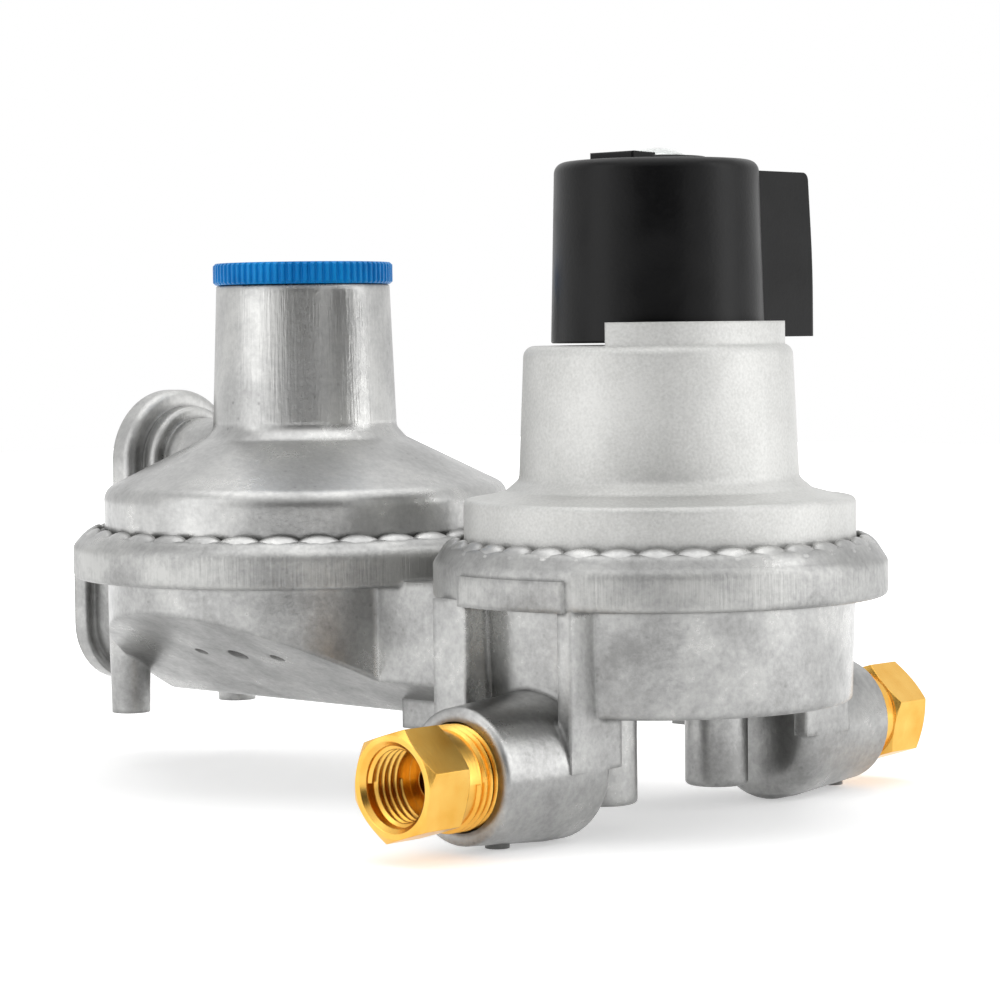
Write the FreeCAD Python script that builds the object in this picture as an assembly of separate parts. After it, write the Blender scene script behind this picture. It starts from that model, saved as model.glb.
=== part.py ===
import FreeCAD, Part

import math
import os

# Two-stage changeover gas regulator. Millimetres, +Z up.
# The two stages stand side by side along X, the two inlets face -Y and +Y, the outlet faces -X.
# The origin lies under the middle of the regulator, level with the lowest point of the casting.

Vector = FreeCAD.Vector

# Where the two stages stand
axis_distance = 91.0            # first stage axis to second stage axis
outlet_reach = 57.0             # second stage axis to the face of the outlet
running_gap = 0.1               # radial play of a shaft or a thread in its bore
pivot_gap = 0.08                # radial play of a lever on its pin
seat_gap = 0.05                 # play of a piece that is pushed into its seat
clear_gap = 0.3                 # between pieces that move past each other

# First stage bowl and its crimped rim
first_rim_r = 40.0
first_seat_z = 44.4             # ledge that the diaphragm lies on
first_bowl_top_r = 34.3
first_bowl_foot_r = 33.7
first_bowl_bottom_z = 21.3
first_cavity_r = 30.5
first_floor = 2.5
first_bell_r = 34.5             # bonnet just above the rim

# Second stage bowl and its crimped rim
second_rim_r = 45.4
second_seat_z = 43.5
second_bowl_r = 38.8
second_wall = 3.8
second_skirt_r = 39.3           # bonnet just above the rim
keel_z = 13.65                  # where the two slopes of the underside would meet
keel_slope = 0.529
keel_round = 5.3
keel_floor = 2.6                # wall between the slopes and the chamber

# The rim that both bowls share
flange_bottom_z = 39.7
rim_wall = 2.6
rim_band = 6.2                  # height of the straight outer band
rim_edge = 1.0                  # rounding of the band's lower edge
lip_thickness = 1.65
lip_gap = 0.6                   # between the lip and the bonnet's wall
lip_slope = 2.2                 # how far the shoulder of the lip leans in
petals = 36                     # pressed petals of each lip
petal_notch_r = 0.95

# Inlet bosses, fittings and what is in them
boss_face_r = 11.5
boss_inner_r = 12.9
boss_face_y = 51.8
boss_draft_y = 33.4             # where the boss has its full radius
boss_end_y = 26.5
boss_end_round = 6.5
recess_r = 9.3
recess_depth = 3.0
fitting_thread_r = 8.3
fitting_end_y = 42.5
hex_start_y = 57.75
hex_length = 9.2
hex_flats = 17.0
hex_chamfer = 1.3
inlet_thread_r = 6.75           # wall of the female thread
inlet_thread_depth = 9.0
flare_relief_r = 6.95
flare_seat_r = 4.6
flare_seat_rise = 2.0
fitting_bore_r = 2.85
seal_thickness = 0.8
seal_hole_r = 4.2
screen_r = 5.2
screen_thickness = 2.0
chamber_r = 5.05                # poppet chamber
valve_seat_y = 34.0
valve_seat_length = 2.5
valve_seat_rim = 0.6
orifice_r = 1.8
poppet_r = 4.2
poppet_length = 2.6
poppet_stem_r = 1.2
poppet_travel = 0.8
seat_pad_r = 3.4
seat_pad_thickness = 0.8
nub_r = 2.1
nub_height = 0.6
left_nub_y = 42.4
right_nub_y = 49.0
pad_half_x = 12.0               # proud pad on the rim above each inlet
pad_proud = 0.8
column_front_y = 37.8           # columns that run from the rim to the boss
column_outer_x = (9.9, 12.9)
column_bridge_x = (-19.0, -11.3)

# Inlet levers of the first stage
lever_pivot_y = 24.5
lever_pivot_z = 28.4
lever_hub_r = 2.3
lever_half_width = 2.0
lever_hub_half = 4.0
lever_thickness = 1.2
lever_tip_y = 4.0
lever_arm_rise = 1.0            # middle of the long arm over the pivot
pin_r = 1.2
lug_thickness = 2.6
lug_half_y = 2.6
lug_top = 2.4
slot_half = 3.2
slot_inner_y = 28.1
slot_below_axis = 2.6

# Moving stack of the first stage
first_travel = 1.2
diaphragm_thickness = 0.8
first_drop = 1.2                # centre of the diaphragm under its rim at rest
plate_thickness = 1.2
first_plate_r = 20.0
fold_r = 2.0
first_fold_at_r = 25.0
foot_r = 7.0
foot_thickness = 2.0
pusher_shaft_r = 3.0
pusher_flange_r = 12.0
pusher_flange = 2.0
rod_r = 2.3
first_spring_r = 12.0
first_spring_wire = 2.2

# First stage bonnet
bonnet_flange = 2.5
bonnet_wall = 2.2
first_neck_foot_r = 24.65
first_neck_top_r = 23.6
first_neck_foot_z = 60.4
first_shoulder_z = 83.75
first_top_wall = 2.5
shoulder_round = 2.0
bell_shoulder = (27.0, 58.4)
bell_brow = (32.2, 57.0)
bell_brow_round = 4.4
collar_r = 22.3
collar_wall = 2.2
collar_height = 3.9
tower_r = 8.0

# Selector knob, its spindle and the window
knob_top_r = 17.9
knob_bottom_r = 18.75
knob_top_z = 115.75
knob_gap = 0.4                  # skirt of the knob over the bonnet's shoulder
knob_wall = 2.2
knob_edge = 2.0
knob_roof = 5.0
handle_half_width = 6.0
handle_top_reach = 35.3
handle_bottom_reach = 37.6
handle_drop = 1.2               # top of the handle under the top of the knob
handle_rise = 0.7               # lower edge of the handle over that of the knob
handle_edge = 1.5
handle_gap = 0.5                # handle to the ends of the collar
arrow_tail_y = -12.0
arrow_tip_y = 28.0
arrow_half_width = 5.0
arrow_tail_rise = 1.35          # over the top of the knob
arrow_tip_rise = 0.15
hub_r = 8.4
web_thickness = 5.0
spindle_r = 4.4
spindle_top = 1.2               # spindle end over the web
cam_r = 12.0
cam_thickness = 3.4
cam_relief = 1.2
cam_relief_share = 0.5
clip_width = 1.3
clip_thickness = 0.8
flag_r = 5.5
flag_height = 5.0
flag_gap = 0.8                  # spindle to flag at rest
flag_top_gap = 1.4              # lifted flag to lens
window_r = 6.1
lens_flange_r = 7.8
lens_flange = 1.2
lens_dome_r = 6.8
lens_rise = 2.4

# Second stage bonnet and vent
second_neck_foot_r = 17.95
second_neck_top_r = 16.9
second_neck_foot_z = 67.4
second_neck_top_z = 95.85
neck_bore_r = 14.2
cone_top = (19.6, 66.3)
cone_foot = (39.0, 56.6)
cone_foot_round = 3.2
neck_foot_round = 1.6
vent_z = 60.75
vent_neck_r = 8.9
vent_collar_r = 11.2
vent_disc_r = 14.6
vent_disc_x = (36.3, 42.3)      # inner and outer face, from the second stage axis
vent_collar_length = 3.9
vent_edge = 1.6
vent_bore_r = 4.5
vent_mouth_r = 10.4
vent_mouth_depth = 4.2
vent_foot_gap = 0.5             # vent disc over the rim's lip
vent_screen_thickness = 0.6
vent_ring_thickness = 1.2
vent_ring_width = 1.6

# Closing cap and adjusting screw of the second stage
cap_r = 17.5
cap_height = 4.2
cap_ribs = 76
cap_rib_depth = 0.45
cap_plug_length = 7.0
cap_plug_wall = 2.2
cap_slot_width = 4.0
cap_slot_depth = 2.2
cap_slot_half = 9.0
cap_gap = 0.1
gasket_width = 1.3
gasket_height = 1.0
screw_depth = 11.8              # top of the screw under the top of the neck
screw_height = 6.5
screw_socket_flats = 12.0
screw_socket_depth = 5.0
seat_washer_r = 12.8
seat_washer_thickness = 2.4
second_spring_r = 12.4
second_spring_wire = 2.0

# Moving stack of the second stage
second_drop = 2.0
second_plate_r = 26.0
second_fold_at_r = 30.0
hook_r = 6.0
hook_thickness = 2.0
hook_shaft_r = 3.0
hook_flange_r = 11.0
relief_stem_r = 2.5
relief_stem_top_z = 64.0
relief_spring_r = 6.0
relief_spring_wire = 1.2
relief_nut_flats = 10.0
relief_nut_height = 4.0
relief_nut_below = 2.0          # stem end over the nut

# Second stage valve
passage_z = 28.8
passage_r = 4.0
nozzle_r = 5.4
nozzle_flange_r = 6.4
nozzle_x = (30.2, 38.2)
nozzle_flange = 1.6
nozzle_tip = 1.0
nozzle_tip_r = 3.4
nozzle_bore_r = 2.4
plunger_x = (24.6, 28.0)
plunger_r = 4.0
plunger_pad_r = 3.6
plunger_pad = 1.0
plunger_travel = 0.5
arm_pivot_x = 23.4
arm_pivot_below = 6.0           # pivot under the valve's axis
arm_tip_z = 33.4
arm_half_width = 2.0
arm_hub_half = 4.0
arm_gap = 0.6                   # lever to the plunger's back at rest

# Outlet, bridge and posts
outlet_z = 27.55
outlet_half = 12.3
outlet_collar = 3.6
outlet_neck_inset = 2.0
outlet_edge = 1.0
outlet_thread_r = 7.35
outlet_thread_length = 14.0
outlet_bore_r = 5.5
bridge_half = 15.8
gallery_half = 8.0
gallery_bottom_z = 12.45
gallery_start = 33.0            # from the second stage axis
gallery_round = 1.6
post_r = 5.7
post_y = 15.2
post_bottom_z = 4.45
post_hole_r = 2.55
post_hole_depth = 13.0
post_edge = 0.8
stub_r = 3.95
stub_x = 37.2                   # from the second stage axis
stub_y = 14.25
stub_bottom_z = 10.85
stub_draft = 0.5
dimples = ((-6.0, 1.4), (4.5, 2.15), (15.5, 1.55))    # place along X and radius, under the -Y slope
dimple_y = 22.5
dimple_depth = 0.6

# Worked out from the sizes above
first_x = (axis_distance + outlet_reach - first_rim_r) / 2
second_x = first_x - axis_distance
inlet_z = boss_inner_r
first_floor_z = first_bowl_bottom_z + first_floor
second_cavity_r = second_bowl_r - second_wall
keel_floor_z = keel_z + keel_floor / math.cos(math.atan(keel_slope))
first_bonnet_z = first_seat_z + diaphragm_thickness
second_bonnet_z = second_seat_z + diaphragm_thickness
first_lip_z = first_bonnet_z + bonnet_flange + lip_thickness
second_lip_z = second_bonnet_z + bonnet_flange + lip_thickness
first_centre_z = first_seat_z - first_drop
second_centre_z = second_seat_z - second_drop
first_plate_z = first_centre_z + diaphragm_thickness
second_plate_z = second_centre_z + diaphragm_thickness
thread_bottom_y = fitting_end_y - seal_thickness
lever_top_z = lever_pivot_z + lever_arm_rise + lever_thickness / 2
foot_z = lever_top_z + clear_gap
cam_top_z = first_shoulder_z - first_top_wall - clear_gap
cam_z = cam_top_z - cam_thickness
washer_z = cam_z - seat_washer_thickness
knob_bottom_z = first_shoulder_z + knob_gap
handle_top_z = knob_top_z - handle_drop
handle_bottom_z = knob_bottom_z + handle_rise
arrow_tail_z = knob_top_z + arrow_tail_rise
arrow_tip_z = knob_top_z + arrow_tip_rise
lens_z = knob_top_z - lens_flange
flag_z = lens_z - flag_top_gap - first_travel - flag_height
spindle_top_z = flag_z - flag_gap
web_top_z = spindle_top_z - spindle_top - clip_thickness
web_z = web_top_z - web_thickness
tower_top_z = web_z - clear_gap
stem_end_y = valve_seat_y - 2.4
arm_pivot_z = passage_z - arm_pivot_below
hook_z = arm_tip_z + lever_thickness / 2 + clear_gap
screw_top_z = second_neck_top_z - screw_depth
screw_z = screw_top_z - screw_height
upper_washer_z = screw_z - seat_washer_thickness


# Shapes that the pieces are made with

def rounded_wire(corners, place, arcs=True):
    """A closed outline through (a, b, rounding) corners; without arcs each corner is cut straight."""
    spots = [(Vector(c[0], c[1], 0), c[2] if len(c) > 2 else 0.0) for c in corners]
    entries = []
    for index, (corner, rounding) in enumerate(spots):
        before = spots[index - 1][0] - corner
        after = spots[(index + 1) % len(spots)][0] - corner
        half_angle = before.getAngle(after) / 2
        reach = 0.0
        if rounding > 0 and half_angle < math.pi / 2 - 0.001:
            reach = min(rounding / math.tan(half_angle), 0.48 * min(before.Length, after.Length))
        start = corner + before * (reach / before.Length)
        end = corner + after * (reach / after.Length)
        bisector = before.normalize() + after.normalize()
        middle = None
        if reach > 0 and arcs:
            radius = reach * math.tan(half_angle)
            to_arc = radius / math.sin(half_angle) - radius
            middle = corner + bisector * (to_arc / bisector.Length)
        entries.append((start, middle, end))
    edges = []
    for index, (start, middle, end) in enumerate(entries):
        if middle is not None:
            edges.append(Part.Arc(place(start), place(middle), place(end)).toShape())
        elif (end - start).Length > 1e-6:
            edges.append(Part.makeLine(place(start), place(end)))
        following = entries[(index + 1) % len(entries)][0]
        if (following - end).Length > 1e-6:
            edges.append(Part.makeLine(place(end), place(following)))
    return Part.Wire(edges)


def turned(corners, axis="Z", centre=Vector(), arcs=True):
    """A solid of revolution from (radius, station, rounding) corners."""
    places = {
        "X": lambda p: Vector(p.y, p.x, 0),
        "Y": lambda p: Vector(p.x, p.y, 0),
        "Z": lambda p: Vector(p.x, 0, p.y),
    }
    directions = {"X": Vector(1, 0, 0), "Y": Vector(0, 1, 0), "Z": Vector(0, 0, 1)}
    face = Part.Face(rounded_wire(corners, places[axis], arcs))
    solid = face.revolve(Vector(), directions[axis], 360)
    solid.translate(centre)
    return solid


def prism(corners, axis, low, high):
    """An outline pushed along an axis from low to high; the outline lies across that axis."""
    places = {
        "X": lambda p: Vector(low, p.x, p.y),
        "Y": lambda p: Vector(p.x, low, p.y),
        "Z": lambda p: Vector(p.x, p.y, low),
    }
    pushes = {"X": Vector(high - low, 0, 0), "Y": Vector(0, high - low, 0), "Z": Vector(0, 0, high - low)}
    face = Part.Face(rounded_wire(corners, places[axis]))
    return face.extrude(pushes[axis])


def block(x, y, z):
    """A box between two limits along each axis."""
    solid = Part.makeBox(x[1] - x[0], y[1] - y[0], z[1] - z[0])
    solid.translate(Vector(x[0], y[0], z[0]))
    return solid


def rod(radius, start, end):
    """A round bar between two points."""
    start = Vector(*start)
    line = Vector(*end) - start
    return Part.makeCylinder(radius, line.Length, start, line)


def tube(outer, inner, start, end):
    """A round tube between two points."""
    return rod(outer, start, end).cut(rod(inner, start, end))


def hexagon(flats, axis, low, high, centre=(0, 0), turn=0.0):
    """A six-sided bar; centre is given across the axis."""
    corner_r = flats / math.sqrt(3)
    corners = []
    for side in range(6):
        angle = math.radians(60 * side + turn)
        corners.append((centre[0] + corner_r * math.cos(angle), centre[1] + corner_r * math.sin(angle)))
    return prism(corners, axis, low, high)


def joined(shapes):
    """One solid from shapes that meet."""
    return shapes[0].fuse(shapes[1:]).removeSplitter()


def other_side(shape):
    """The same piece at the +Y inlet."""
    return shape.mirror(Vector(), Vector(0, 1, 0))


# Lower casting

def crimped_rim(centre_x, rim_r, seat_z, cavity_r, wall_r):
    """Rim with a ledge for the diaphragm and a lip rolled over the bonnet's flange in petals."""
    bonnet_top = seat_z + diaphragm_thickness + bonnet_flange
    lip_top = bonnet_top + lip_thickness
    lip_r = wall_r + lip_gap
    pocket_r = rim_r - rim_wall
    rim = turned([
        (cavity_r, flange_bottom_z),
        (rim_r, flange_bottom_z, rim_edge),
        (rim_r, flange_bottom_z + rim_band, lip_thickness),
        (rim_r - lip_slope, lip_top, lip_thickness),
        (lip_r + 0.4, lip_top),
        (lip_r, lip_top - 0.5),
        (lip_r, bonnet_top),
        (pocket_r, bonnet_top),
        (pocket_r, seat_z),
        (cavity_r, seat_z),
    ])
    notches = []
    for petal in range(petals):
        angle = 2 * math.pi * (petal + 0.5) / petals
        spot = Vector((lip_r + 0.5) * math.cos(angle), (lip_r + 0.5) * math.sin(angle), bonnet_top)
        lean = Vector(0.35 * math.cos(angle), 0.35 * math.sin(angle), 1)
        notches.append(Part.makeCone(0.55 * petal_notch_r, petal_notch_r, 2 * lip_thickness, spot, lean))
    rim = rim.cut(notches)
    rim.translate(Vector(centre_x, 0, 0))
    return rim


def first_bowl():
    """Drafted round bowl of the first stage, with the pads that stand proud of its rim."""
    bowl = turned([
        (0, first_bowl_bottom_z),
        (first_bowl_foot_r, first_bowl_bottom_z, 1.0),
        (first_bowl_top_r, flange_bottom_z),
        (first_bowl_top_r, first_seat_z),
        (0, first_seat_z),
    ])
    pad_ring = tube(first_rim_r + pad_proud, first_cavity_r + 1,
                    (0, 0, flange_bottom_z), (0, 0, flange_bottom_z + rim_band - rim_edge))
    pad_ring = pad_ring.cut(tube(first_rim_r - 1, first_cavity_r,
                                 (0, 0, first_seat_z), (0, 0, first_seat_z + rim_band)))
    pads = pad_ring.common(block((-pad_half_x, pad_half_x), (-2 * first_rim_r, 2 * first_rim_r),
                                 (0, first_lip_z)))
    bowl = bowl.fuse(pads)
    bowl.translate(Vector(first_x, 0, 0))
    return bowl


def inlet_boss(nub_y):
    """Drafted boss of the -Y inlet with its columns up to the rim and a small ejector nub."""
    boss = turned([
        (0, -boss_face_y),
        (boss_face_r, -boss_face_y, 0.8),
        (boss_inner_r, -boss_draft_y),
        (boss_inner_r, -boss_end_y, boss_end_round),
        (0, -boss_end_y),
    ], "Y", Vector(0, 0, inlet_z))
    column_back = -first_bowl_foot_r * 0.75
    columns = [block(span, (-column_front_y, column_back), (inlet_z, flange_bottom_z + 1))
               for span in (column_outer_x, column_bridge_x)]
    draft = (boss_inner_r - boss_face_r) / (boss_face_y - boss_draft_y)
    nub_top = inlet_z - boss_inner_r + draft * max(nub_y - boss_draft_y, 0)
    nub = rod(nub_r, (0, -nub_y, nub_top - nub_height), (0, -nub_y, inlet_z))
    whole = boss.fuse(columns + [nub])
    whole.translate(Vector(first_x, 0, 0))
    return whole


def inlet_hollow():
    """Everything that is bored and cored in the -Y inlet boss."""
    bores = turned([
        (0, -valve_seat_y),
        (chamber_r, -valve_seat_y),
        (chamber_r, -thread_bottom_y),
        (fitting_thread_r + seat_gap, -thread_bottom_y),
        (fitting_thread_r + seat_gap, -boss_face_y + recess_depth),
        (recess_r, -boss_face_y + recess_depth),
        (recess_r, -boss_face_y - 1),
        (0, -boss_face_y - 1),
    ], "Y", Vector(0, 0, inlet_z))
    slot = block((-slot_half, slot_half), (-valve_seat_y - 0.01, -slot_inner_y),
                 (inlet_z - slot_below_axis, first_floor_z + 0.01))
    hollow = bores.fuse(slot)
    hollow.translate(Vector(first_x, 0, 0))
    return hollow


def lever_lugs():
    """Pair of cast lugs that hold the pin of the -Y inlet lever."""
    inner = lever_hub_half + clear_gap
    lugs = []
    for side in (-1, 1):
        near, far = sorted((side * inner, side * (inner + lug_thickness)))
        lug = prism([
            (-lever_pivot_y - lug_half_y, first_floor_z - 0.5),
            (-lever_pivot_y + lug_half_y, first_floor_z - 0.5),
            (-lever_pivot_y + lug_half_y, lever_pivot_z + lug_top, lug_top),
            (-lever_pivot_y - lug_half_y, lever_pivot_z + lug_top, lug_top),
        ], "X", near, far)
        lugs.append(lug)
    pair = lugs[0].fuse(lugs[1:])
    reach = inner + lug_thickness + 1
    pin_hole = rod(pin_r, (-reach, -lever_pivot_y, lever_pivot_z), (reach, -lever_pivot_y, lever_pivot_z))
    pair = pair.cut(pin_hole)
    pair.translate(Vector(first_x, 0, 0))
    return pair


def keel_prism(bottom_z, rounding, top_z, half_y, x):
    """Long block whose underside is a shallow V along X."""
    side_z = bottom_z + keel_slope * half_y
    return prism([
        (-half_y, top_z),
        (-half_y, side_z),
        (0, bottom_z, rounding),
        (half_y, side_z),
        (half_y, top_z),
    ], "X", x[0], x[1])


def second_bowl():
    """Round bowl of the second stage with its keeled underside and the two stubs at its far side."""
    reach = second_bowl_r + 1
    keel = keel_prism(keel_z, keel_round, second_seat_z, reach, (-reach, reach))
    bowl = rod(second_bowl_r, (0, 0, keel_z - 1), (0, 0, second_seat_z)).common(keel)
    stubs = [Part.makeCone(stub_r - stub_draft / 4, stub_r + stub_draft, flange_bottom_z + 1 - stub_bottom_z,
                           Vector(-stub_x, side * stub_y, stub_bottom_z)) for side in (-1, 1)]
    bowl = bowl.fuse(stubs)
    bowl.translate(Vector(second_x, 0, 0))
    return bowl


def slope_dimples():
    """Three shallow sunk marks of the die's pins on the underside."""
    slope_z = keel_z + keel_slope * dimple_y
    slant = Vector(0, keel_slope, 1).normalize()
    marks = []
    for along, radius in dimples:
        spot = Vector(second_x + along, -dimple_y, slope_z) - slant * dimple_depth
        marks.append(Part.makeCylinder(radius, 2 * dimple_depth, spot, slant))
    return marks


def second_hollow():
    """Chamber under the second stage diaphragm, with a floor that follows the keel."""
    reach = second_cavity_r + 1
    keel = keel_prism(keel_floor_z, keel_round, second_seat_z + 0.01, reach, (-reach, reach))
    hollow = rod(second_cavity_r, (0, 0, keel_z), (0, 0, second_seat_z + 0.01)).common(keel)
    hollow.translate(Vector(second_x, 0, 0))
    return hollow


def arm_lugs():
    """Pair of lugs that hold the pin of the second stage lever, standing on the chamber floor."""
    inner = arm_hub_half + clear_gap
    foot = keel_z + keel_slope * (inner + lug_thickness) + 0.3 * keel_floor
    lugs = []
    for side in (-1, 1):
        near, far = sorted((side * inner, side * (inner + lug_thickness)))
        lug = prism([
            (arm_pivot_x - lug_half_y, foot),
            (arm_pivot_x + lug_half_y, foot),
            (arm_pivot_x + lug_half_y, arm_pivot_z + lug_top, lug_top),
            (arm_pivot_x - lug_half_y, arm_pivot_z + lug_top, lug_top),
        ], "Y", near, far)
        lugs.append(lug)
    pair = lugs[0].fuse(lugs[1:])
    reach = inner + lug_thickness + 1
    pair = pair.cut(rod(pin_r, (arm_pivot_x, -reach, arm_pivot_z), (arm_pivot_x, reach, arm_pivot_z)))
    pair.translate(Vector(second_x, 0, 0))
    return pair


def bridge():
    """Straight-sided web between the two bowls, with the gallery that hangs under it."""
    start = second_cavity_r + 0.5 * second_wall
    end = axis_distance - 0.5 * (first_cavity_r + first_bowl_foot_r)
    web = keel_prism(keel_z, keel_round, flange_bottom_z + 1, bridge_half, (start - 6, end))
    gallery = prism([
        (gallery_start, gallery_bottom_z, gallery_round),
        (end, gallery_bottom_z),
        (end, first_bowl_bottom_z + 1),
        (gallery_start, first_bowl_bottom_z + 1),
    ], "Y", -gallery_half, gallery_half)
    whole = web.fuse(gallery)
    whole.translate(Vector(second_x, 0, 0))
    whole = whole.cut(rod(second_cavity_r, (second_x, 0, 0), (second_x, 0, second_seat_z)))
    return whole


def outlet_boss():
    """Outlet boss: a U-shaped block under the rim with a collar at its face."""
    top = flange_bottom_z + 1
    waist = outlet_half - outlet_neck_inset
    collar_end = -outlet_reach + outlet_collar
    collar = u_block(outlet_half, outlet_z, top, -outlet_reach, collar_end)
    collar = collar.common(turned([
        (0, -outlet_reach),
        (2 * outlet_half - outlet_edge, -outlet_reach),
        (2 * outlet_half, -outlet_reach + outlet_edge),
        (2 * outlet_half, collar_end),
        (0, collar_end),
    ], "X", Vector(0, 0, outlet_z)))
    neck = u_block(waist, outlet_z, top, collar_end - 0.5, -second_cavity_r - 0.5 * second_wall)
    whole = collar.fuse(neck)
    whole.translate(Vector(second_x, 0, 0))
    return whole


def u_block(half, axis_z, top_z, low_x, high_x):
    """A block along X that is round below its axis and straight-sided above it."""
    round_part = rod(half, (low_x, 0, axis_z), (high_x, 0, axis_z))
    return round_part.fuse(block((low_x, high_x), (-half, half), (axis_z, top_z))).removeSplitter()


def mounting_posts():
    """Two round posts under the first stage bowl that take the bracket's screws."""
    posts = [turned([
        (0, post_bottom_z),
        (post_r, post_bottom_z, post_edge),
        (post_r, first_bowl_bottom_z + 1),
        (0, first_bowl_bottom_z + 1),
    ], "Z", Vector(first_x, side * post_y, 0)) for side in (-1, 1)]
    return posts[0].fuse(posts[1:])


def post_holes():
    """Blind screw holes in the mounting posts, with pointed ends."""
    holes = [turned([
        (0, post_bottom_z - 1),
        (post_hole_r, post_bottom_z - 1),
        (post_hole_r, post_bottom_z + post_hole_depth),
        (0, post_bottom_z + post_hole_depth + 0.5 * post_hole_r),
    ], "Z", Vector(first_x, side * post_y, 0)) for side in (-1, 1)]
    return holes[0].fuse(holes[1:])


def passages():
    """Gas ways: first chamber to the second stage nozzle, and second chamber to the outlet."""
    nozzle_seat = second_x + nozzle_x[0] + nozzle_flange
    nozzle_end = second_x + nozzle_x[1]
    between = rod(passage_r, (nozzle_end - 0.01, 0, passage_z),
                  (first_x - first_cavity_r + 1, 0, passage_z))
    nozzle_bore = rod(nozzle_r + seat_gap, (nozzle_seat, 0, passage_z), (nozzle_end, 0, passage_z))
    flange_bore = rod(nozzle_flange_r + clear_gap, (nozzle_seat - 2 * nozzle_flange, 0, passage_z),
                      (nozzle_seat, 0, passage_z))
    outlet_face = second_x - outlet_reach
    outlet_thread = rod(outlet_thread_r, (outlet_face - 1, 0, outlet_z),
                        (outlet_face + outlet_thread_length, 0, outlet_z))
    outlet_way = rod(outlet_bore_r, (outlet_face, 0, outlet_z),
                     (second_x - second_cavity_r + 2, 0, outlet_z))
    return [between, nozzle_bore, flange_bore, outlet_thread, outlet_way]


def lower_casting():
    """Die casting that carries both stages: bowls, rims, bridge, bosses, posts and lugs."""
    outside = first_bowl().fuse([
        second_bowl(),
        bridge(),
        outlet_boss(),
        mounting_posts(),
        inlet_boss(left_nub_y),
        other_side(inlet_boss(right_nub_y)),
    ])
    first_chamber = rod(first_cavity_r, (first_x, 0, first_floor_z), (first_x, 0, first_seat_z + 0.01))
    outside = outside.cut([first_chamber, second_hollow(), post_holes()])
    inside = [lever_lugs(), other_side(lever_lugs()), arm_lugs()]
    rims = [
        crimped_rim(first_x, first_rim_r, first_seat_z, first_cavity_r, first_bell_r),
        crimped_rim(second_x, second_rim_r, second_seat_z, second_cavity_r, second_skirt_r),
    ]
    casting = outside.fuse(inside + rims)
    casting = casting.cut(passages() + slope_dimples() + [inlet_hollow(), other_side(inlet_hollow())])
    return casting.removeSplitter()


# Bonnets

def first_stage_bonnet():
    """Bell-shaped bonnet with a neck, a stop collar round the knob and a bored tower for the spindle."""
    inner = bonnet_wall
    collar_inner = collar_r - collar_wall
    shell = turned([
        (first_cavity_r, first_bonnet_z),
        (first_rim_r - rim_wall - seat_gap, first_bonnet_z),
        (first_rim_r - rim_wall - seat_gap, first_bonnet_z + bonnet_flange),
        (first_bell_r, first_bonnet_z + bonnet_flange),
        (first_bell_r, bell_brow[1], bell_brow_round),
        (bell_brow[0], bell_brow[1], bell_brow_round),
        (bell_shoulder[0], bell_shoulder[1], 1.5),
        (first_neck_foot_r, first_neck_foot_z, 1.5),
        (first_neck_top_r, first_shoulder_z, shoulder_round),
        (spindle_r + running_gap, first_shoulder_z),
        (spindle_r + running_gap, first_shoulder_z - first_top_wall),
        (first_neck_top_r - inner, first_shoulder_z - first_top_wall, 1.0),
        (first_neck_foot_r - inner, first_neck_foot_z - 1),
        (bell_brow[0] - inner, bell_brow[1] - inner, bell_brow_round - inner),
        (first_cavity_r, first_bonnet_z + bonnet_flange + 1),
    ])
    collar = tube(collar_r, collar_inner, (0, 0, first_shoulder_z - 0.5),
                  (0, 0, first_shoulder_z + collar_height))
    collar = collar.common(block((handle_half_width + handle_gap, 2 * collar_r), (-collar_r, collar_r),
                                 (first_shoulder_z - 1, 2 * first_shoulder_z)))
    tower = tube(tower_r, spindle_r + running_gap, (0, 0, first_shoulder_z - 1), (0, 0, tower_top_z))
    bonnet = joined([shell, collar, tower])
    bonnet.translate(Vector(first_x, 0, 0))
    return bonnet


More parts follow.
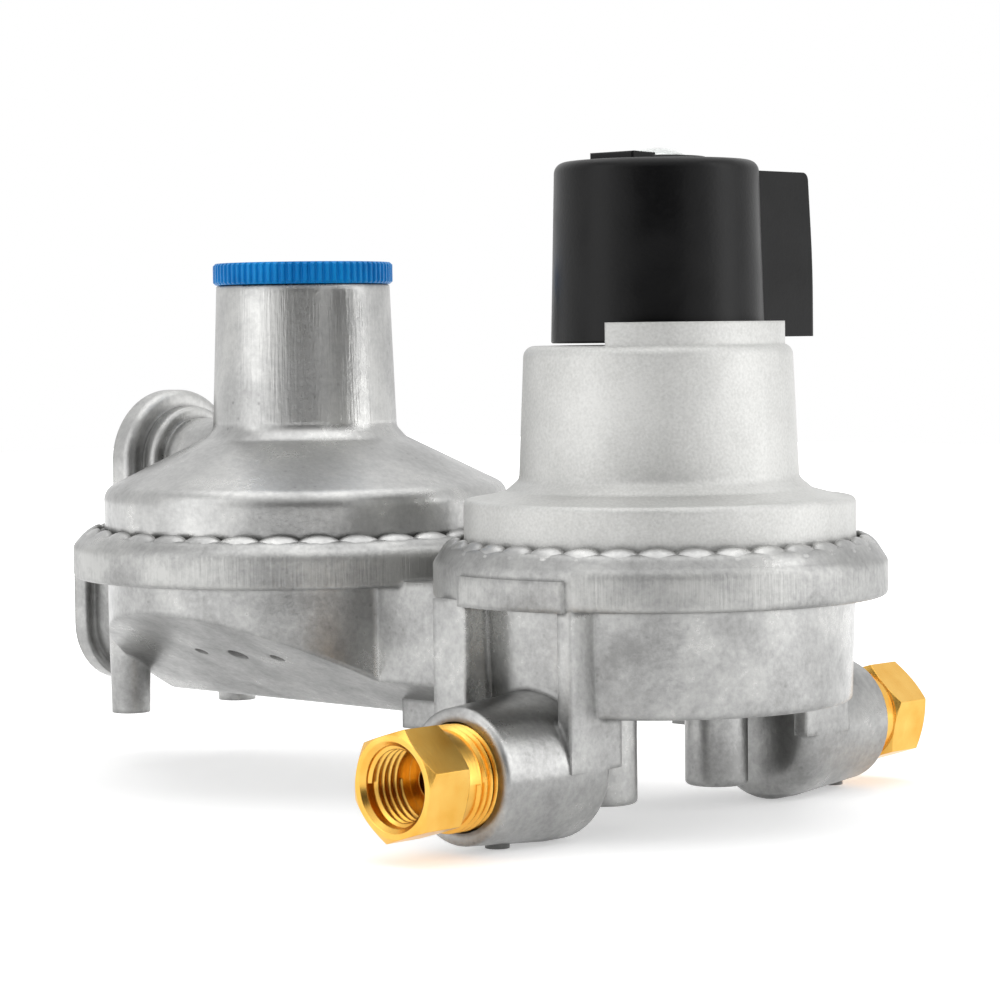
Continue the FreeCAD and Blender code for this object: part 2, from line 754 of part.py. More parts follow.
def second_stage_bonnet():
    """Coned bonnet with a bored neck for the spring and a screened vent boss towards -X."""
    inner = bonnet_wall
    shell = turned([
        (second_cavity_r, second_bonnet_z),
        (second_rim_r - rim_wall - seat_gap, second_bonnet_z),
        (second_rim_r - rim_wall - seat_gap, second_bonnet_z + bonnet_flange),
        (second_skirt_r, second_bonnet_z + bonnet_flange),
        (second_skirt_r, cone_foot[1], cone_foot_round),
        (cone_top[0], cone_top[1], neck_foot_round),
        (second_neck_foot_r, second_neck_foot_z + 0.8, neck_foot_round),
        (second_neck_top_r, second_neck_top_z, 0.4),
        (neck_bore_r + gasket_width, second_neck_top_z),
        (neck_bore_r + gasket_width, second_neck_top_z - gasket_height),
        (neck_bore_r, second_neck_top_z - gasket_height),
        (neck_bore_r, second_neck_foot_z),
        (second_neck_foot_r, cone_top[1] - inner),
        (second_skirt_r - inner - 1, cone_foot[1] - inner, cone_foot_round),
        (second_cavity_r, second_bonnet_z + bonnet_flange + 1),
    ])
    collar_inner_x = vent_disc_x[0] - vent_collar_length
    boss = [
        rod(vent_neck_r, (-vent_disc_x[0], 0, vent_z), (-neck_bore_r - 1, 0, vent_z)),
        vent_arch(vent_collar_r, vent_disc_x[0] + 0.1, collar_inner_x, vent_edge / 2),
        vent_arch(vent_disc_r, vent_disc_x[1], vent_disc_x[0], vent_edge),
    ]
    bonnet = joined([shell] + boss)
    chamber = turned([
        (0, second_bonnet_z - 0.1),
        (second_cavity_r, second_bonnet_z - 0.1),
        (second_cavity_r, second_bonnet_z + bonnet_flange + 1),
        (second_skirt_r - inner - 1, cone_foot[1] - inner, cone_foot_round),
        (second_neck_foot_r, cone_top[1] - inner),
        (neck_bore_r, second_neck_foot_z),
        (neck_bore_r, second_neck_top_z),
        (0, second_neck_top_z),
    ])
    mouth_start = -vent_disc_x[1] + vent_mouth_depth
    bonnet = bonnet.cut([
        chamber,
        rod(vent_bore_r, (-vent_disc_x[1], 0, vent_z), (-neck_bore_r, 0, vent_z)),
        rod(vent_mouth_r, (-vent_disc_x[1] - 1, 0, vent_z), (mouth_start, 0, vent_z)),
    ])
    bonnet.translate(Vector(second_x, 0, 0))
    return bonnet


def vent_arch(radius, far, near, edge):
    """Disc of the vent boss with straight sides down to just over the rim, rounded at its rim."""
    foot = second_lip_z + vent_foot_gap
    disc = turned([
        (0, -far),
        (radius, -far, edge),
        (radius, -near, edge),
        (0, -near),
    ], "X", Vector(0, 0, vent_z))
    sides = prism([
        (-far, -radius, edge),
        (-near, -radius, edge),
        (-near, radius, edge),
        (-far, radius, edge),
    ], "Z", foot, vent_z)
    above = block((-far - 1, -near + 1), (-2 * radius, 2 * radius), (foot, vent_z + 2 * radius))
    return disc.fuse(sides).common(above)


# Inlet pieces, made for the -Y side

def left_inlet_fitting():
    """Brass adapter: hexagon with a chamfered end, female flare thread, and a shank in the boss."""
    far = hex_start_y + hex_length
    corner_r = hex_flats / math.sqrt(3)
    bar = hexagon(hex_flats, "Y", -far, -hex_start_y, (0, inlet_z), 17.0)
    trim = turned([
        (0, -far),
        (corner_r - hex_chamfer, -far),
        (corner_r + 0.1, -far + 0.58 * hex_chamfer + 0.1),
        (corner_r + 0.1, -hex_start_y - 0.58 * hex_chamfer - 0.1),
        (corner_r - hex_chamfer, -hex_start_y),
        (0, -hex_start_y),
    ], "Y", Vector(0, 0, inlet_z))
    shank = turned([
        (0, -hex_start_y - 0.5),
        (fitting_thread_r, -hex_start_y - 0.5),
        (fitting_thread_r, -fitting_end_y, 0.6),
        (0, -fitting_end_y),
    ], "Y", Vector(0, 0, inlet_z))
    thread_end = -far + inlet_thread_depth
    hollow = turned([
        (0, -far - 0.1),
        (inlet_thread_r + 0.9, -far - 0.1),
        (inlet_thread_r, -far + 0.8),
        (inlet_thread_r, thread_end),
        (flare_relief_r, thread_end),
        (flare_relief_r, thread_end + flare_seat_rise),
        (flare_seat_r, thread_end + flare_seat_rise),
        (fitting_bore_r, thread_end),
        (fitting_bore_r, -fitting_end_y - screen_thickness),
        (screen_r + seat_gap, -fitting_end_y - screen_thickness),
        (screen_r + seat_gap, -fitting_end_y + 0.1),
        (0, -fitting_end_y + 0.1),
    ], "Y", Vector(0, 0, inlet_z))
    fitting = bar.common(trim).fuse(shank).cut(hollow).removeSplitter()
    fitting.translate(Vector(first_x, 0, 0))
    return fitting


def left_inlet_seal():
    """Soft washer that the fitting's shank presses on the bottom of its threaded hole."""
    return tube(fitting_thread_r, seal_hole_r, (first_x, -fitting_end_y, inlet_z),
                (first_x, -thread_bottom_y, inlet_z))


def left_inlet_screen():
    """Sintered filter disc in the inner end of the fitting."""
    return rod(screen_r, (first_x, -fitting_end_y - screen_thickness, inlet_z),
               (first_x, -fitting_end_y, inlet_z))


def left_valve_seat():
    """Pressed ring with a raised rim round the orifice that the poppet closes."""
    seat = turned([
        (orifice_r, -valve_seat_y),
        (chamber_r - seat_gap, -valve_seat_y),
        (chamber_r - seat_gap, -valve_seat_y - valve_seat_length + valve_seat_rim),
        (orifice_r + 1.2, -valve_seat_y - valve_seat_length + valve_seat_rim),
        (orifice_r + 0.4, -valve_seat_y - valve_seat_length),
        (orifice_r, -valve_seat_y - valve_seat_length),
    ], "Y", Vector(first_x, 0, inlet_z))
    return seat


def left_poppet():
    """Poppet with a thin stem through the orifice; it stands open by its travel."""
    face = -valve_seat_y - valve_seat_length - poppet_travel - seat_gap
    back = face - seat_pad_thickness - poppet_length
    return turned([
        (0, back),
        (poppet_r, back, 0.4),
        (poppet_r, face),
        (seat_pad_r + seat_gap, face),
        (seat_pad_r + seat_gap, face - seat_pad_thickness),
        (poppet_stem_r, face - seat_pad_thickness),
        (poppet_stem_r, -stem_end_y, 0.3),
        (0, -stem_end_y),
    ], "Y", Vector(first_x, 0, inlet_z), False)


def left_seat_pad():
    """Rubber ring held in the poppet's face."""
    face = -valve_seat_y - valve_seat_length - poppet_travel - seat_gap
    return tube(seat_pad_r, poppet_stem_r + seat_gap, (first_x, face - seat_pad_thickness, inlet_z),
                (first_x, face, inlet_z))


def strip(path, thickness, axis, half_width):
    """A bent strip of sheet: a path given across the axis, with the sheet's thickness round it."""
    left = []
    right = []
    for index, point in enumerate(path):
        before = Vector(*path[max(index - 1, 0)], 0)
        here = Vector(*point, 0)
        after = Vector(*path[min(index + 1, len(path) - 1)], 0)
        way_in = (here - before).normalize() if index > 0 else (after - here).normalize()
        way_out = (after - here).normalize() if index < len(path) - 1 else way_in
        side = Vector(-way_in.y - way_out.y, way_in.x + way_out.x, 0).normalize()
        reach = thickness / 2 / max(side.dot(Vector(-way_in.y, way_in.x, 0)), 0.3)
        left.append(here + side * reach)
        right.append(here - side * reach)
    outline = [(p.x, p.y) for p in left + right[::-1]]
    return prism(outline, axis, -half_width, half_width)


def left_inlet_lever():
    """Bent lever: the foot of the diaphragm presses its long arm, its short arm pushes the poppet's stem."""
    arm_z = lever_pivot_z + lever_arm_rise
    tip_y = stem_end_y - clear_gap - lever_thickness / 2
    path = [
        (-lever_tip_y, arm_z),
        (-lever_pivot_y, arm_z),
        (-slot_inner_y - 1.2, first_floor_z + 1.2),
        (-tip_y, inlet_z + 7.5),
        (-tip_y, inlet_z - 1.2),
    ]
    lever = strip(path, lever_thickness, "X", lever_half_width)
    lever = lever.fuse(rod(lever_hub_r, (-lever_hub_half, -lever_pivot_y, lever_pivot_z),
                           (lever_hub_half, -lever_pivot_y, lever_pivot_z)))
    bore = pin_r + pivot_gap
    lever = lever.cut(rod(bore, (-2 * lever_hub_half, -lever_pivot_y, lever_pivot_z),
                          (2 * lever_hub_half, -lever_pivot_y, lever_pivot_z))).removeSplitter()
    lever.translate(Vector(first_x, 0, 0))
    return lever


def left_lever_pin():
    """Pin of the inlet lever, flush with its lugs."""
    reach = lever_hub_half + clear_gap + lug_thickness
    return rod(pin_r, (first_x - reach, -lever_pivot_y, lever_pivot_z),
               (first_x + reach, -lever_pivot_y, lever_pivot_z))


# Moving stack of the first stage

def diaphragm(centre_x, seat_z, drop, outer_r, hole_r, fold_at_r):
    """Rubber sheet clamped at its rim, with a wave round its middle, which hangs lower."""
    middle_z = seat_z - drop
    wave = fold_r / 2
    heights = [
        (hole_r, middle_z),
        (fold_at_r - fold_r, middle_z),
        (fold_at_r, seat_z),
        (fold_at_r + fold_r, seat_z - drop / 2),
        (fold_at_r + 2 * fold_r, seat_z),
        (outer_r, seat_z),
    ]
    below = [(r, z, wave) for r, z in heights]
    above = [(r, z + diaphragm_thickness, wave) for r, z in heights[::-1]]
    sheet = turned(below + above, arcs=False)
    sheet.translate(Vector(centre_x, 0, 0))
    return sheet


def first_stage_diaphragm():
    """Diaphragm of the first stage."""
    return diaphragm(first_x, first_seat_z, first_drop, first_rim_r - rim_wall - seat_gap,
                     rod_r + seat_gap, first_fold_at_r)


def second_stage_diaphragm():
    """Diaphragm of the second stage."""
    return diaphragm(second_x, second_seat_z, second_drop, second_rim_r - rim_wall - seat_gap,
                     relief_stem_r + seat_gap, second_fold_at_r)


def dished_plate(centre_x, bottom_z, radius, hole_r, lip):
    """Pressed disc on the diaphragm with a turned-up rim."""
    plate = turned([
        (hole_r, bottom_z),
        (radius, bottom_z, plate_thickness),
        (radius, bottom_z + lip),
        (radius - plate_thickness, bottom_z + lip),
        (radius - plate_thickness, bottom_z + plate_thickness, 0.4),
        (hole_r, bottom_z + plate_thickness),
    ], arcs=False)
    plate.translate(Vector(centre_x, 0, 0))
    return plate


def first_diaphragm_plate():
    """Spring plate on the first stage diaphragm."""
    return dished_plate(first_x, first_plate_z, first_plate_r, rod_r + seat_gap, 2 * plate_thickness)


def first_stage_pusher():
    """Spool under the diaphragm whose foot rests on both inlet levers."""
    flange_z = first_centre_z - pusher_flange
    pusher = turned([
        (0, foot_z),
        (foot_r, foot_z, 0.5),
        (foot_r, foot_z + foot_thickness, 0.5),
        (pusher_shaft_r, foot_z + foot_thickness, 0.8),
        (pusher_shaft_r, flange_z, 0.8),
        (pusher_flange_r, flange_z, 0.5),
        (pusher_flange_r, first_centre_z, 0.3),
        (0, first_centre_z),
    ], arcs=False)
    pusher.translate(Vector(first_x, 0, 0))
    return pusher


def first_stage_spring():
    """Main spring of the first stage, drawn as the closed sleeve that its coils fill."""
    return tube(first_spring_r, first_spring_r - first_spring_wire,
                (first_x, 0, first_plate_z + plate_thickness), (first_x, 0, washer_z))


def first_spring_washer():
    """Spring seat under the selector's cam, centred on the spindle's guide."""
    washer = turned([
        (rod_r + running_gap, washer_z),
        (first_spring_r + 0.8, washer_z),
        (first_spring_r + 0.8, cam_z, 0.6),
        (rod_r + running_gap, cam_z),
    ], arcs=False)
    pilot = tube(first_spring_r - first_spring_wire - seat_gap, rod_r + running_gap,
                 (0, 0, washer_z - seat_washer_thickness), (0, 0, washer_z))
    whole = washer.fuse(pilot).removeSplitter()
    whole.translate(Vector(first_x, 0, 0))
    return whole


def indicator_rod():
    """Slim rod that carries the flag up through the spindle to the window."""
    return rod(rod_r, (first_x, 0, first_centre_z), (first_x, 0, flag_z))


def indicator_flag():
    """Drum under the window; its upper band and lower band are seen in turn."""
    return turned([
        (0, flag_z),
        (flag_r, flag_z),
        (flag_r, flag_z + flag_height, 0.8),
        (0, flag_z + flag_height),
    ], "Z", Vector(first_x, 0, 0), False)


# Selector

def selector_spindle():
    """Hollow spindle with the changeover cam under the bonnet's roof."""
    spindle = turned([
        (rod_r + running_gap, cam_z),
        (cam_r, cam_z, 0.4),
        (cam_r, cam_top_z, 0.4),
        (spindle_r, cam_top_z),
        (spindle_r, spindle_top_z, 0.3),
        (rod_r + running_gap, spindle_top_z),
    ], arcs=False)
    relief = tube(cam_r + 1, cam_r - 2.5, (0, 0, cam_z - 1), (0, 0, cam_z + cam_relief))
    half = block((-2 * cam_r * cam_relief_share, 0), (-2 * cam_r, 2 * cam_r), (cam_z - 1, cam_top_z))
    groove = tube(spindle_r + 1, spindle_r - clip_width / 2, (0, 0, web_top_z),
                  (0, 0, web_top_z + clip_thickness))
    spindle = spindle.cut([relief.common(half), groove])
    spindle.translate(Vector(first_x, 0, 0))
    return spindle


def knob_clip():
    """Snap ring in the spindle's groove that keeps the knob on."""
    ring = tube(spindle_r + clip_width / 2, spindle_r - clip_width / 2 + seat_gap,
                (first_x, 0, web_top_z), (first_x, 0, web_top_z + clip_thickness))
    gap = block((first_x, first_x + 2 * spindle_r), (-0.8, 0.8), (web_top_z - 1, web_top_z + 2))
    return ring.cut(gap)


def selector_knob():
    """Moulded knob: drafted cap, handle towards +Y, raised arrow, and a hub with the window's well."""
    body = turned([
        (0, knob_bottom_z),
        (knob_bottom_r, knob_bottom_z, 0.4),
        (knob_top_r, knob_top_z, knob_edge),
        (0, knob_top_z),
    ])
    handle = prism([
        (0, handle_bottom_z),
        (handle_bottom_reach, handle_bottom_z, 0.4),
        (handle_top_reach, handle_top_z, handle_edge),
        (0, handle_top_z),
    ], "X", -handle_half_width, handle_half_width)
    handle_plan = prism([
        (-handle_half_width, -1),
        (handle_half_width, -1),
        (handle_half_width, handle_bottom_reach, handle_edge),
        (-handle_half_width, handle_bottom_reach, handle_edge),
    ], "Z", handle_bottom_z, handle_top_z)
    handle = handle.common(handle_plan)
    arrow_side = prism([
        (arrow_tail_y, knob_top_z - 2),
        (arrow_tip_y, handle_top_z - 1),
        (arrow_tip_y, arrow_tip_z),
        (arrow_tail_y, arrow_tail_z, 0.4),
    ], "X", -knob_top_r, knob_top_r)
    arrow_plan = prism([
        (-arrow_half_width, arrow_tail_y, 0.5),
        (arrow_half_width, arrow_tail_y, 0.5),
        (arrow_half_width, arrow_tip_y - 1.5 * arrow_half_width),
        (0, arrow_tip_y),
        (-arrow_half_width, arrow_tip_y - 1.5 * arrow_half_width),
    ], "Z", handle_top_z - 2, arrow_tail_z + 1)
    ring = turned([
        (0, knob_top_z - 1),
        (lens_flange_r + 1.4, knob_top_z - 1),
        (lens_flange_r + 1.0, arrow_tail_z - 0.6, 0.5),
        (0, arrow_tail_z - 0.6),
    ])
    outside = joined([body, handle, arrow_side.common(arrow_plan), ring])
    roof_z = knob_top_z - knob_roof
    hollow = turned([
        (0, knob_bottom_z - 1),
        (knob_bottom_r - knob_wall, knob_bottom_z - 1),
        (knob_top_r - knob_wall, roof_z, knob_edge),
        (0, roof_z),
    ])
    handle_hollow = prism([
        (knob_top_r - 2 * knob_wall, handle_bottom_z - 1),
        (handle_bottom_reach - knob_wall, handle_bottom_z - 1),
        (handle_top_reach - knob_wall, handle_top_z - knob_wall),
        (knob_top_r - 2 * knob_wall, handle_top_z - knob_wall - knob_roof),
    ], "X", -handle_half_width + knob_wall, handle_half_width - knob_wall)
    hub = rod(hub_r, (0, 0, web_z), (0, 0, roof_z + 0.5))
    knob = outside.cut([hollow, handle_hollow]).fuse(hub)
    well = [
        rod(spindle_r + seat_gap, (0, 0, web_z - 1), (0, 0, web_top_z + 1)),
        rod(window_r, (0, 0, web_top_z), (0, 0, lens_z + 0.01)),
        rod(lens_flange_r + seat_gap, (0, 0, lens_z), (0, 0, 2 * knob_top_z)),
    ]
    knob = knob.cut(well).removeSplitter()
    knob.translate(Vector(first_x, 0, 0))
    return knob


def window_lens():
    """Clear lens with a flat foot and a domed face, seated in the top of the knob."""
    dome_radius = (lens_dome_r ** 2 + lens_rise ** 2) / (2 * lens_rise)
    foot = rod(lens_flange_r, (0, 0, lens_z), (0, 0, knob_top_z))
    ball = Part.makeSphere(dome_radius, Vector(0, 0, knob_top_z + lens_rise - dome_radius))
    dome = ball.common(rod(lens_dome_r, (0, 0, knob_top_z), (0, 0, knob_top_z + 2 * lens_rise)))
    lens = joined([foot, dome])
    lens.translate(Vector(first_x, 0, 0))
    return lens


# Second stage valve, stack and adjustment

def second_stage_nozzle():
    """Brass nozzle screwed into the bridge, with a raised tip towards the plunger."""
    return turned([
        (nozzle_bore_r, nozzle_x[0] - nozzle_tip),
        (nozzle_bore_r + 0.5, nozzle_x[0] - nozzle_tip),
        (nozzle_tip_r, nozzle_x[0]),
        (nozzle_flange_r, nozzle_x[0]),
        (nozzle_flange_r, nozzle_x[0] + nozzle_flange),
        (nozzle_r, nozzle_x[0] + nozzle_flange),
        (nozzle_r, nozzle_x[1]),
        (nozzle_bore_r, nozzle_x[1]),
    ], "X", Vector(second_x, 0, passage_z))


def second_stage_plunger():
    """Holder of the valve pad, open by its travel at rest."""
    return turned([
        (0, plunger_x[0]),
        (plunger_r, plunger_x[0], 0.4),
        (plunger_r, plunger_x[1] + plunger_pad / 2),
        (plunger_pad_r + seat_gap, plunger_x[1] + plunger_pad / 2),
        (plunger_pad_r + seat_gap, plunger_x[1]),
        (0, plunger_x[1]),
    ], "X", Vector(second_x, 0, passage_z), False)


def second_seat_pad():
    """Rubber disc that closes the nozzle."""
    gap = nozzle_x[0] - nozzle_tip - plunger_travel - seat_gap
    thickness = min(plunger_pad, gap - plunger_x[1])
    return rod(plunger_pad_r, (second_x + plunger_x[1], 0, passage_z),
               (second_x + plunger_x[1] + thickness, 0, passage_z))


def second_stage_lever():
    """Bent lever: the hook of the diaphragm moves its long arm, its upright moves the plunger."""
    face_x = plunger_x[0] - arm_gap - lever_thickness / 2
    path = [
        (0, arm_tip_z),
        (face_x - 5.0, arm_tip_z),
        (face_x, passage_z + 2.2),
        (face_x, arm_pivot_z),
    ]
    lever = strip(path, lever_thickness, "Y", arm_half_width)
    lever = lever.fuse(rod(lever_hub_r, (arm_pivot_x, -arm_hub_half, arm_pivot_z),
                           (arm_pivot_x, arm_hub_half, arm_pivot_z)))
    bore = pin_r + pivot_gap
    lever = lever.cut(rod(bore, (arm_pivot_x, -2 * arm_hub_half, arm_pivot_z),
                          (arm_pivot_x, 2 * arm_hub_half, arm_pivot_z))).removeSplitter()
    lever.translate(Vector(second_x, 0, 0))
    return lever


def second_lever_pin():
    """Pin of the second stage lever, flush with its lugs."""
    reach = arm_hub_half + clear_gap + lug_thickness
    return rod(pin_r, (second_x + arm_pivot_x, -reach, arm_pivot_z),
               (second_x + arm_pivot_x, reach, arm_pivot_z))


def second_diaphragm_plate():
    """Spring plate on the second stage diaphragm."""
    return dished_plate(second_x, second_plate_z, second_plate_r, relief_stem_r + seat_gap,
                        2 * plate_thickness)


def relief_stem():
    """Hook under the diaphragm that lies on the lever, drawn out above into the relief valve's stem."""
    flange_z = second_centre_z - pusher_flange
    stem = turned([
        (0, hook_z),
        (hook_r, hook_z, 0.5),
        (hook_r, hook_z + hook_thickness, 0.5),
        (hook_shaft_r, hook_z + hook_thickness, 0.8),
        (hook_shaft_r, flange_z, 0.8),
        (hook_flange_r, flange_z, 0.5),
        (hook_flange_r, second_centre_z),
        (relief_stem_r, second_centre_z),
        (relief_stem_r, relief_stem_top_z, 0.5),
        (0, relief_stem_top_z),
    ], arcs=False)
    stem.translate(Vector(second_x, 0, 0))
    return stem


def relief_spring():
    """Relief spring inside the main spring, drawn as the closed sleeve that its coils fill."""
    return tube(relief_spring_r, relief_spring_r - relief_spring_wire,
                (second_x, 0, second_plate_z + plate_thickness),
                (second_x, 0, relief_stem_top_z - relief_nut_below - relief_nut_height))


def relief_nut():
    """Nut on the stem that holds the relief spring down."""
    top = relief_stem_top_z - relief_nut_below
    nut = hexagon(relief_nut_flats, "Z", top - relief_nut_height, top)
    nut = nut.fuse(rod(relief_spring_r + 0.4, (0, 0, top - relief_nut_height),
                       (0, 0, top - relief_nut_height + 1)))
    nut = nut.cut(rod(relief_stem_r + seat_gap, (0, 0, 0), (0, 0, 2 * top)))
    nut.translate(Vector(second_x, 0, 0))
    return nut


def second_stage_spring():
    """Main spring of the second stage, drawn as the closed sleeve that its coils fill."""
    return tube(second_spring_r, second_spring_r - second_spring_wire,
                (second_x, 0, second_plate_z + plate_thickness), (second_x, 0, upper_washer_z))


def upper_spring_washer():
    """Washer between the main spring and the adjusting screw."""
    return tube(seat_washer_r, relief_stem_r + 1, (second_x, 0, upper_washer_z), (second_x, 0, screw_z))


def adjusting_screw():
    """Wide plastic screw in the neck with a hexagon socket; it sets the spring's load."""
    body = turned([
        (0, screw_z),
        (neck_bore_r - running_gap, screw_z, 0.8),
        (neck_bore_r - running_gap, screw_top_z, 0.8),
        (0, screw_top_z),
    ], arcs=False)
    socket = hexagon(screw_socket_flats, "Z", screw_top_z - screw_socket_depth, screw_top_z + 1)
    body = body.cut(socket)
    body.translate(Vector(second_x, 0, 0))
    return body


def closing_cap():
    """Ribbed blue cap: a flat head with fine ribs round it, a coin slot, and a plug in the neck."""
    bottom = second_neck_top_z + cap_gap
    outline = []
    for rib in range(cap_ribs):
        for step, radius in ((0.0, cap_r), (0.42, cap_r), (0.58, cap_r - cap_rib_depth),
                             (0.84, cap_r - cap_rib_depth)):
            angle = 2 * math.pi * (rib + step) / cap_ribs
            outline.append((radius * math.cos(angle), radius * math.sin(angle)))
    head = prism(outline, "Z", bottom, bottom + cap_height)
    head = head.common(turned([
        (0, bottom),
        (cap_r - 0.5, bottom),
        (cap_r + 0.1, bottom + 0.6),
        (cap_r + 0.1, bottom + cap_height - 0.6),
        (cap_r - 0.5, bottom + cap_height),
        (0, bottom + cap_height),
    ]))
    plug_r = neck_bore_r - running_gap
    plug = tube(plug_r, plug_r - cap_plug_wall, (0, 0, bottom - cap_plug_length), (0, 0, bottom + 0.5))
    slot = prism([
        (-cap_slot_half, -cap_slot_width / 2, 1.5),
        (cap_slot_half, -cap_slot_width / 2, 1.5),
        (cap_slot_half, cap_slot_width / 2, 1.5),
        (-cap_slot_half, cap_slot_width / 2, 1.5),
    ], "Z", bottom + cap_height - cap_slot_depth, bottom + cap_height + 1)
    cap = head.fuse(plug).cut(slot)
    cap.translate(Vector(second_x, 0, 0))
    return cap


def cap_gasket():
    """Ring seal in the counterbore at the top of the neck."""
    top = second_neck_top_z + cap_gap
    return tube(neck_bore_r + gasket_width - seat_gap, neck_bore_r + seat_gap,
                (second_x, 0, second_neck_top_z - gasket_height), (second_x, 0, top))


def vent_screen():
    """Fine mesh disc behind the mouth of the vent."""
    back = second_x - vent_disc_x[1] + vent_mouth_depth
    return rod(vent_mouth_r - seat_gap, (back - vent_screen_thickness, 0, vent_z), (back, 0, vent_z))


def vent_ring():
    """Ring that holds the screen in the vent's mouth."""
    back = second_x - vent_disc_x[1] + vent_mouth_depth - vent_screen_thickness
    return tube(vent_mouth_r - seat_gap, vent_mouth_r - vent_ring_width,
                (back - vent_ring_thickness, 0, vent_z), (back, 0, vent_z))


left_pieces = {
    "inlet_fitting": left_inlet_fitting,
    "inlet_seal": left_inlet_seal,
    "inlet_screen": left_inlet_screen,
    "valve_seat": left_valve_seat,
    "poppet": left_poppet,
    "seat_pad": left_seat_pad,
    "inlet_lever": left_inlet_lever,
    "lever_pin": left_lever_pin,
}

single_pieces = [
    lower_casting,
    first_stage_bonnet,
    second_stage_bonnet,
    first_stage_diaphragm,
    first_diaphragm_plate,
    first_stage_pusher,
    first_stage_spring,
    first_spring_washer,
    indicator_rod,
    indicator_flag,
    selector_spindle,
    knob_clip,
    selector_knob,
    window_lens,
    second_stage_nozzle,
    second_stage_plunger,
    second_seat_pad,
    second_stage_lever,
    second_lever_pin,
    second_stage_diaphragm,
    second_diaphragm_plate,
    relief_stem,
    relief_spring,
    relief_nut,
    second_stage_spring,
    upper_spring_washer,
    adjusting_screw,
    closing_cap,
    cap_gasket,
    vent_screen,
    vent_ring,
]

os.makedirs("parts", exist_ok=True)
for make in single_pieces:
    make().exportStep("parts/" + make.__name__ + ".step")
for name, make in left_pieces.items():
    piece = make()
    piece.exportStep("parts/left_" + name + ".step")
    other_side(piece).exportStep("parts/right_" + name + ".step")
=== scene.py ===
import math

import bpy
from mathutils import Matrix, Vector


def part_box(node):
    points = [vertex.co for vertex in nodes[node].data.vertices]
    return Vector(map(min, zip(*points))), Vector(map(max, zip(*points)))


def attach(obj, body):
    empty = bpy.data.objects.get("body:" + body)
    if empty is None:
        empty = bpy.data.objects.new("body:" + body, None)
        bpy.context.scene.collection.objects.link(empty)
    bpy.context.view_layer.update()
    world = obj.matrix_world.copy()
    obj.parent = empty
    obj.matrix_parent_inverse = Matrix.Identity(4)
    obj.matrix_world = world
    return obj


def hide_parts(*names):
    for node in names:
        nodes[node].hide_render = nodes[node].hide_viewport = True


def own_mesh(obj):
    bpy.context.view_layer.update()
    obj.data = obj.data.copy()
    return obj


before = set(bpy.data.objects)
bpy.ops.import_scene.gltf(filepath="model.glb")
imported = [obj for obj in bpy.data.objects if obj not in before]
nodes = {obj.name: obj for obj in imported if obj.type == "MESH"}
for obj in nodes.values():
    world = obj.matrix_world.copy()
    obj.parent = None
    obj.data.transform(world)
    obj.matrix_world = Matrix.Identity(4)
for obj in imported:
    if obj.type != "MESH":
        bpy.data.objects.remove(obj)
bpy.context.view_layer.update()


# The lower casting carries both stages. It is one pressure die casting of zinc alloy, left raw:
# broken off its sprue and tumbled, so its skin is a soft mid grey with faint clouds, a few dark
# pits and softened edges. The rolling tool has drawn fine upright marks round both rims.

def colour(code):
    """Linear colour of an sRGB hex code, with full alpha."""
    parts = [int(code[i:i + 2], 16) / 255 for i in (1, 3, 5)]
    return tuple(c / 12.92 if c <= 0.04045 else ((c + 0.055) / 1.055) ** 2.4 for c in parts) + (1.0,)


def add_node(tree, kind, inputs, **settings):
    """One shader node with its settings; each input is a value or a socket to link from."""
    made = tree.nodes.new(kind)
    for name, value in settings.items():
        if name == "stops":
            band = made.color_ramp
            band.elements[0].position, band.elements[1].position = value[0][0], value[-1][0]
            band.elements[0].color, band.elements[1].color = colour(value[0][1]), colour(value[-1][1])
            for position, code in value[1:-1]:
                band.elements.new(position).color = colour(code)
        else:
            setattr(made, name, value)
    for name, value in inputs.items():
        if isinstance(value, bpy.types.NodeSocket):
            tree.links.new(value, made.inputs[name])
        else:
            made.inputs[name].default_value = value
    return made


def start_material(name):
    """A new material: its tree, its Principled shader and the object coordinates."""
    material = bpy.data.materials.new(name)
    material.use_nodes = True
    tree = material.node_tree
    place = add_node(tree, "ShaderNodeTexCoord", {}).outputs["Object"]
    return material, tree, tree.nodes["Principled BSDF"], place


def dress(piece, material):
    """Gives a piece or a CAD node its finish."""
    target = nodes[piece] if isinstance(piece, str) else piece
    target.data.materials.clear()
    target.data.materials.append(material)


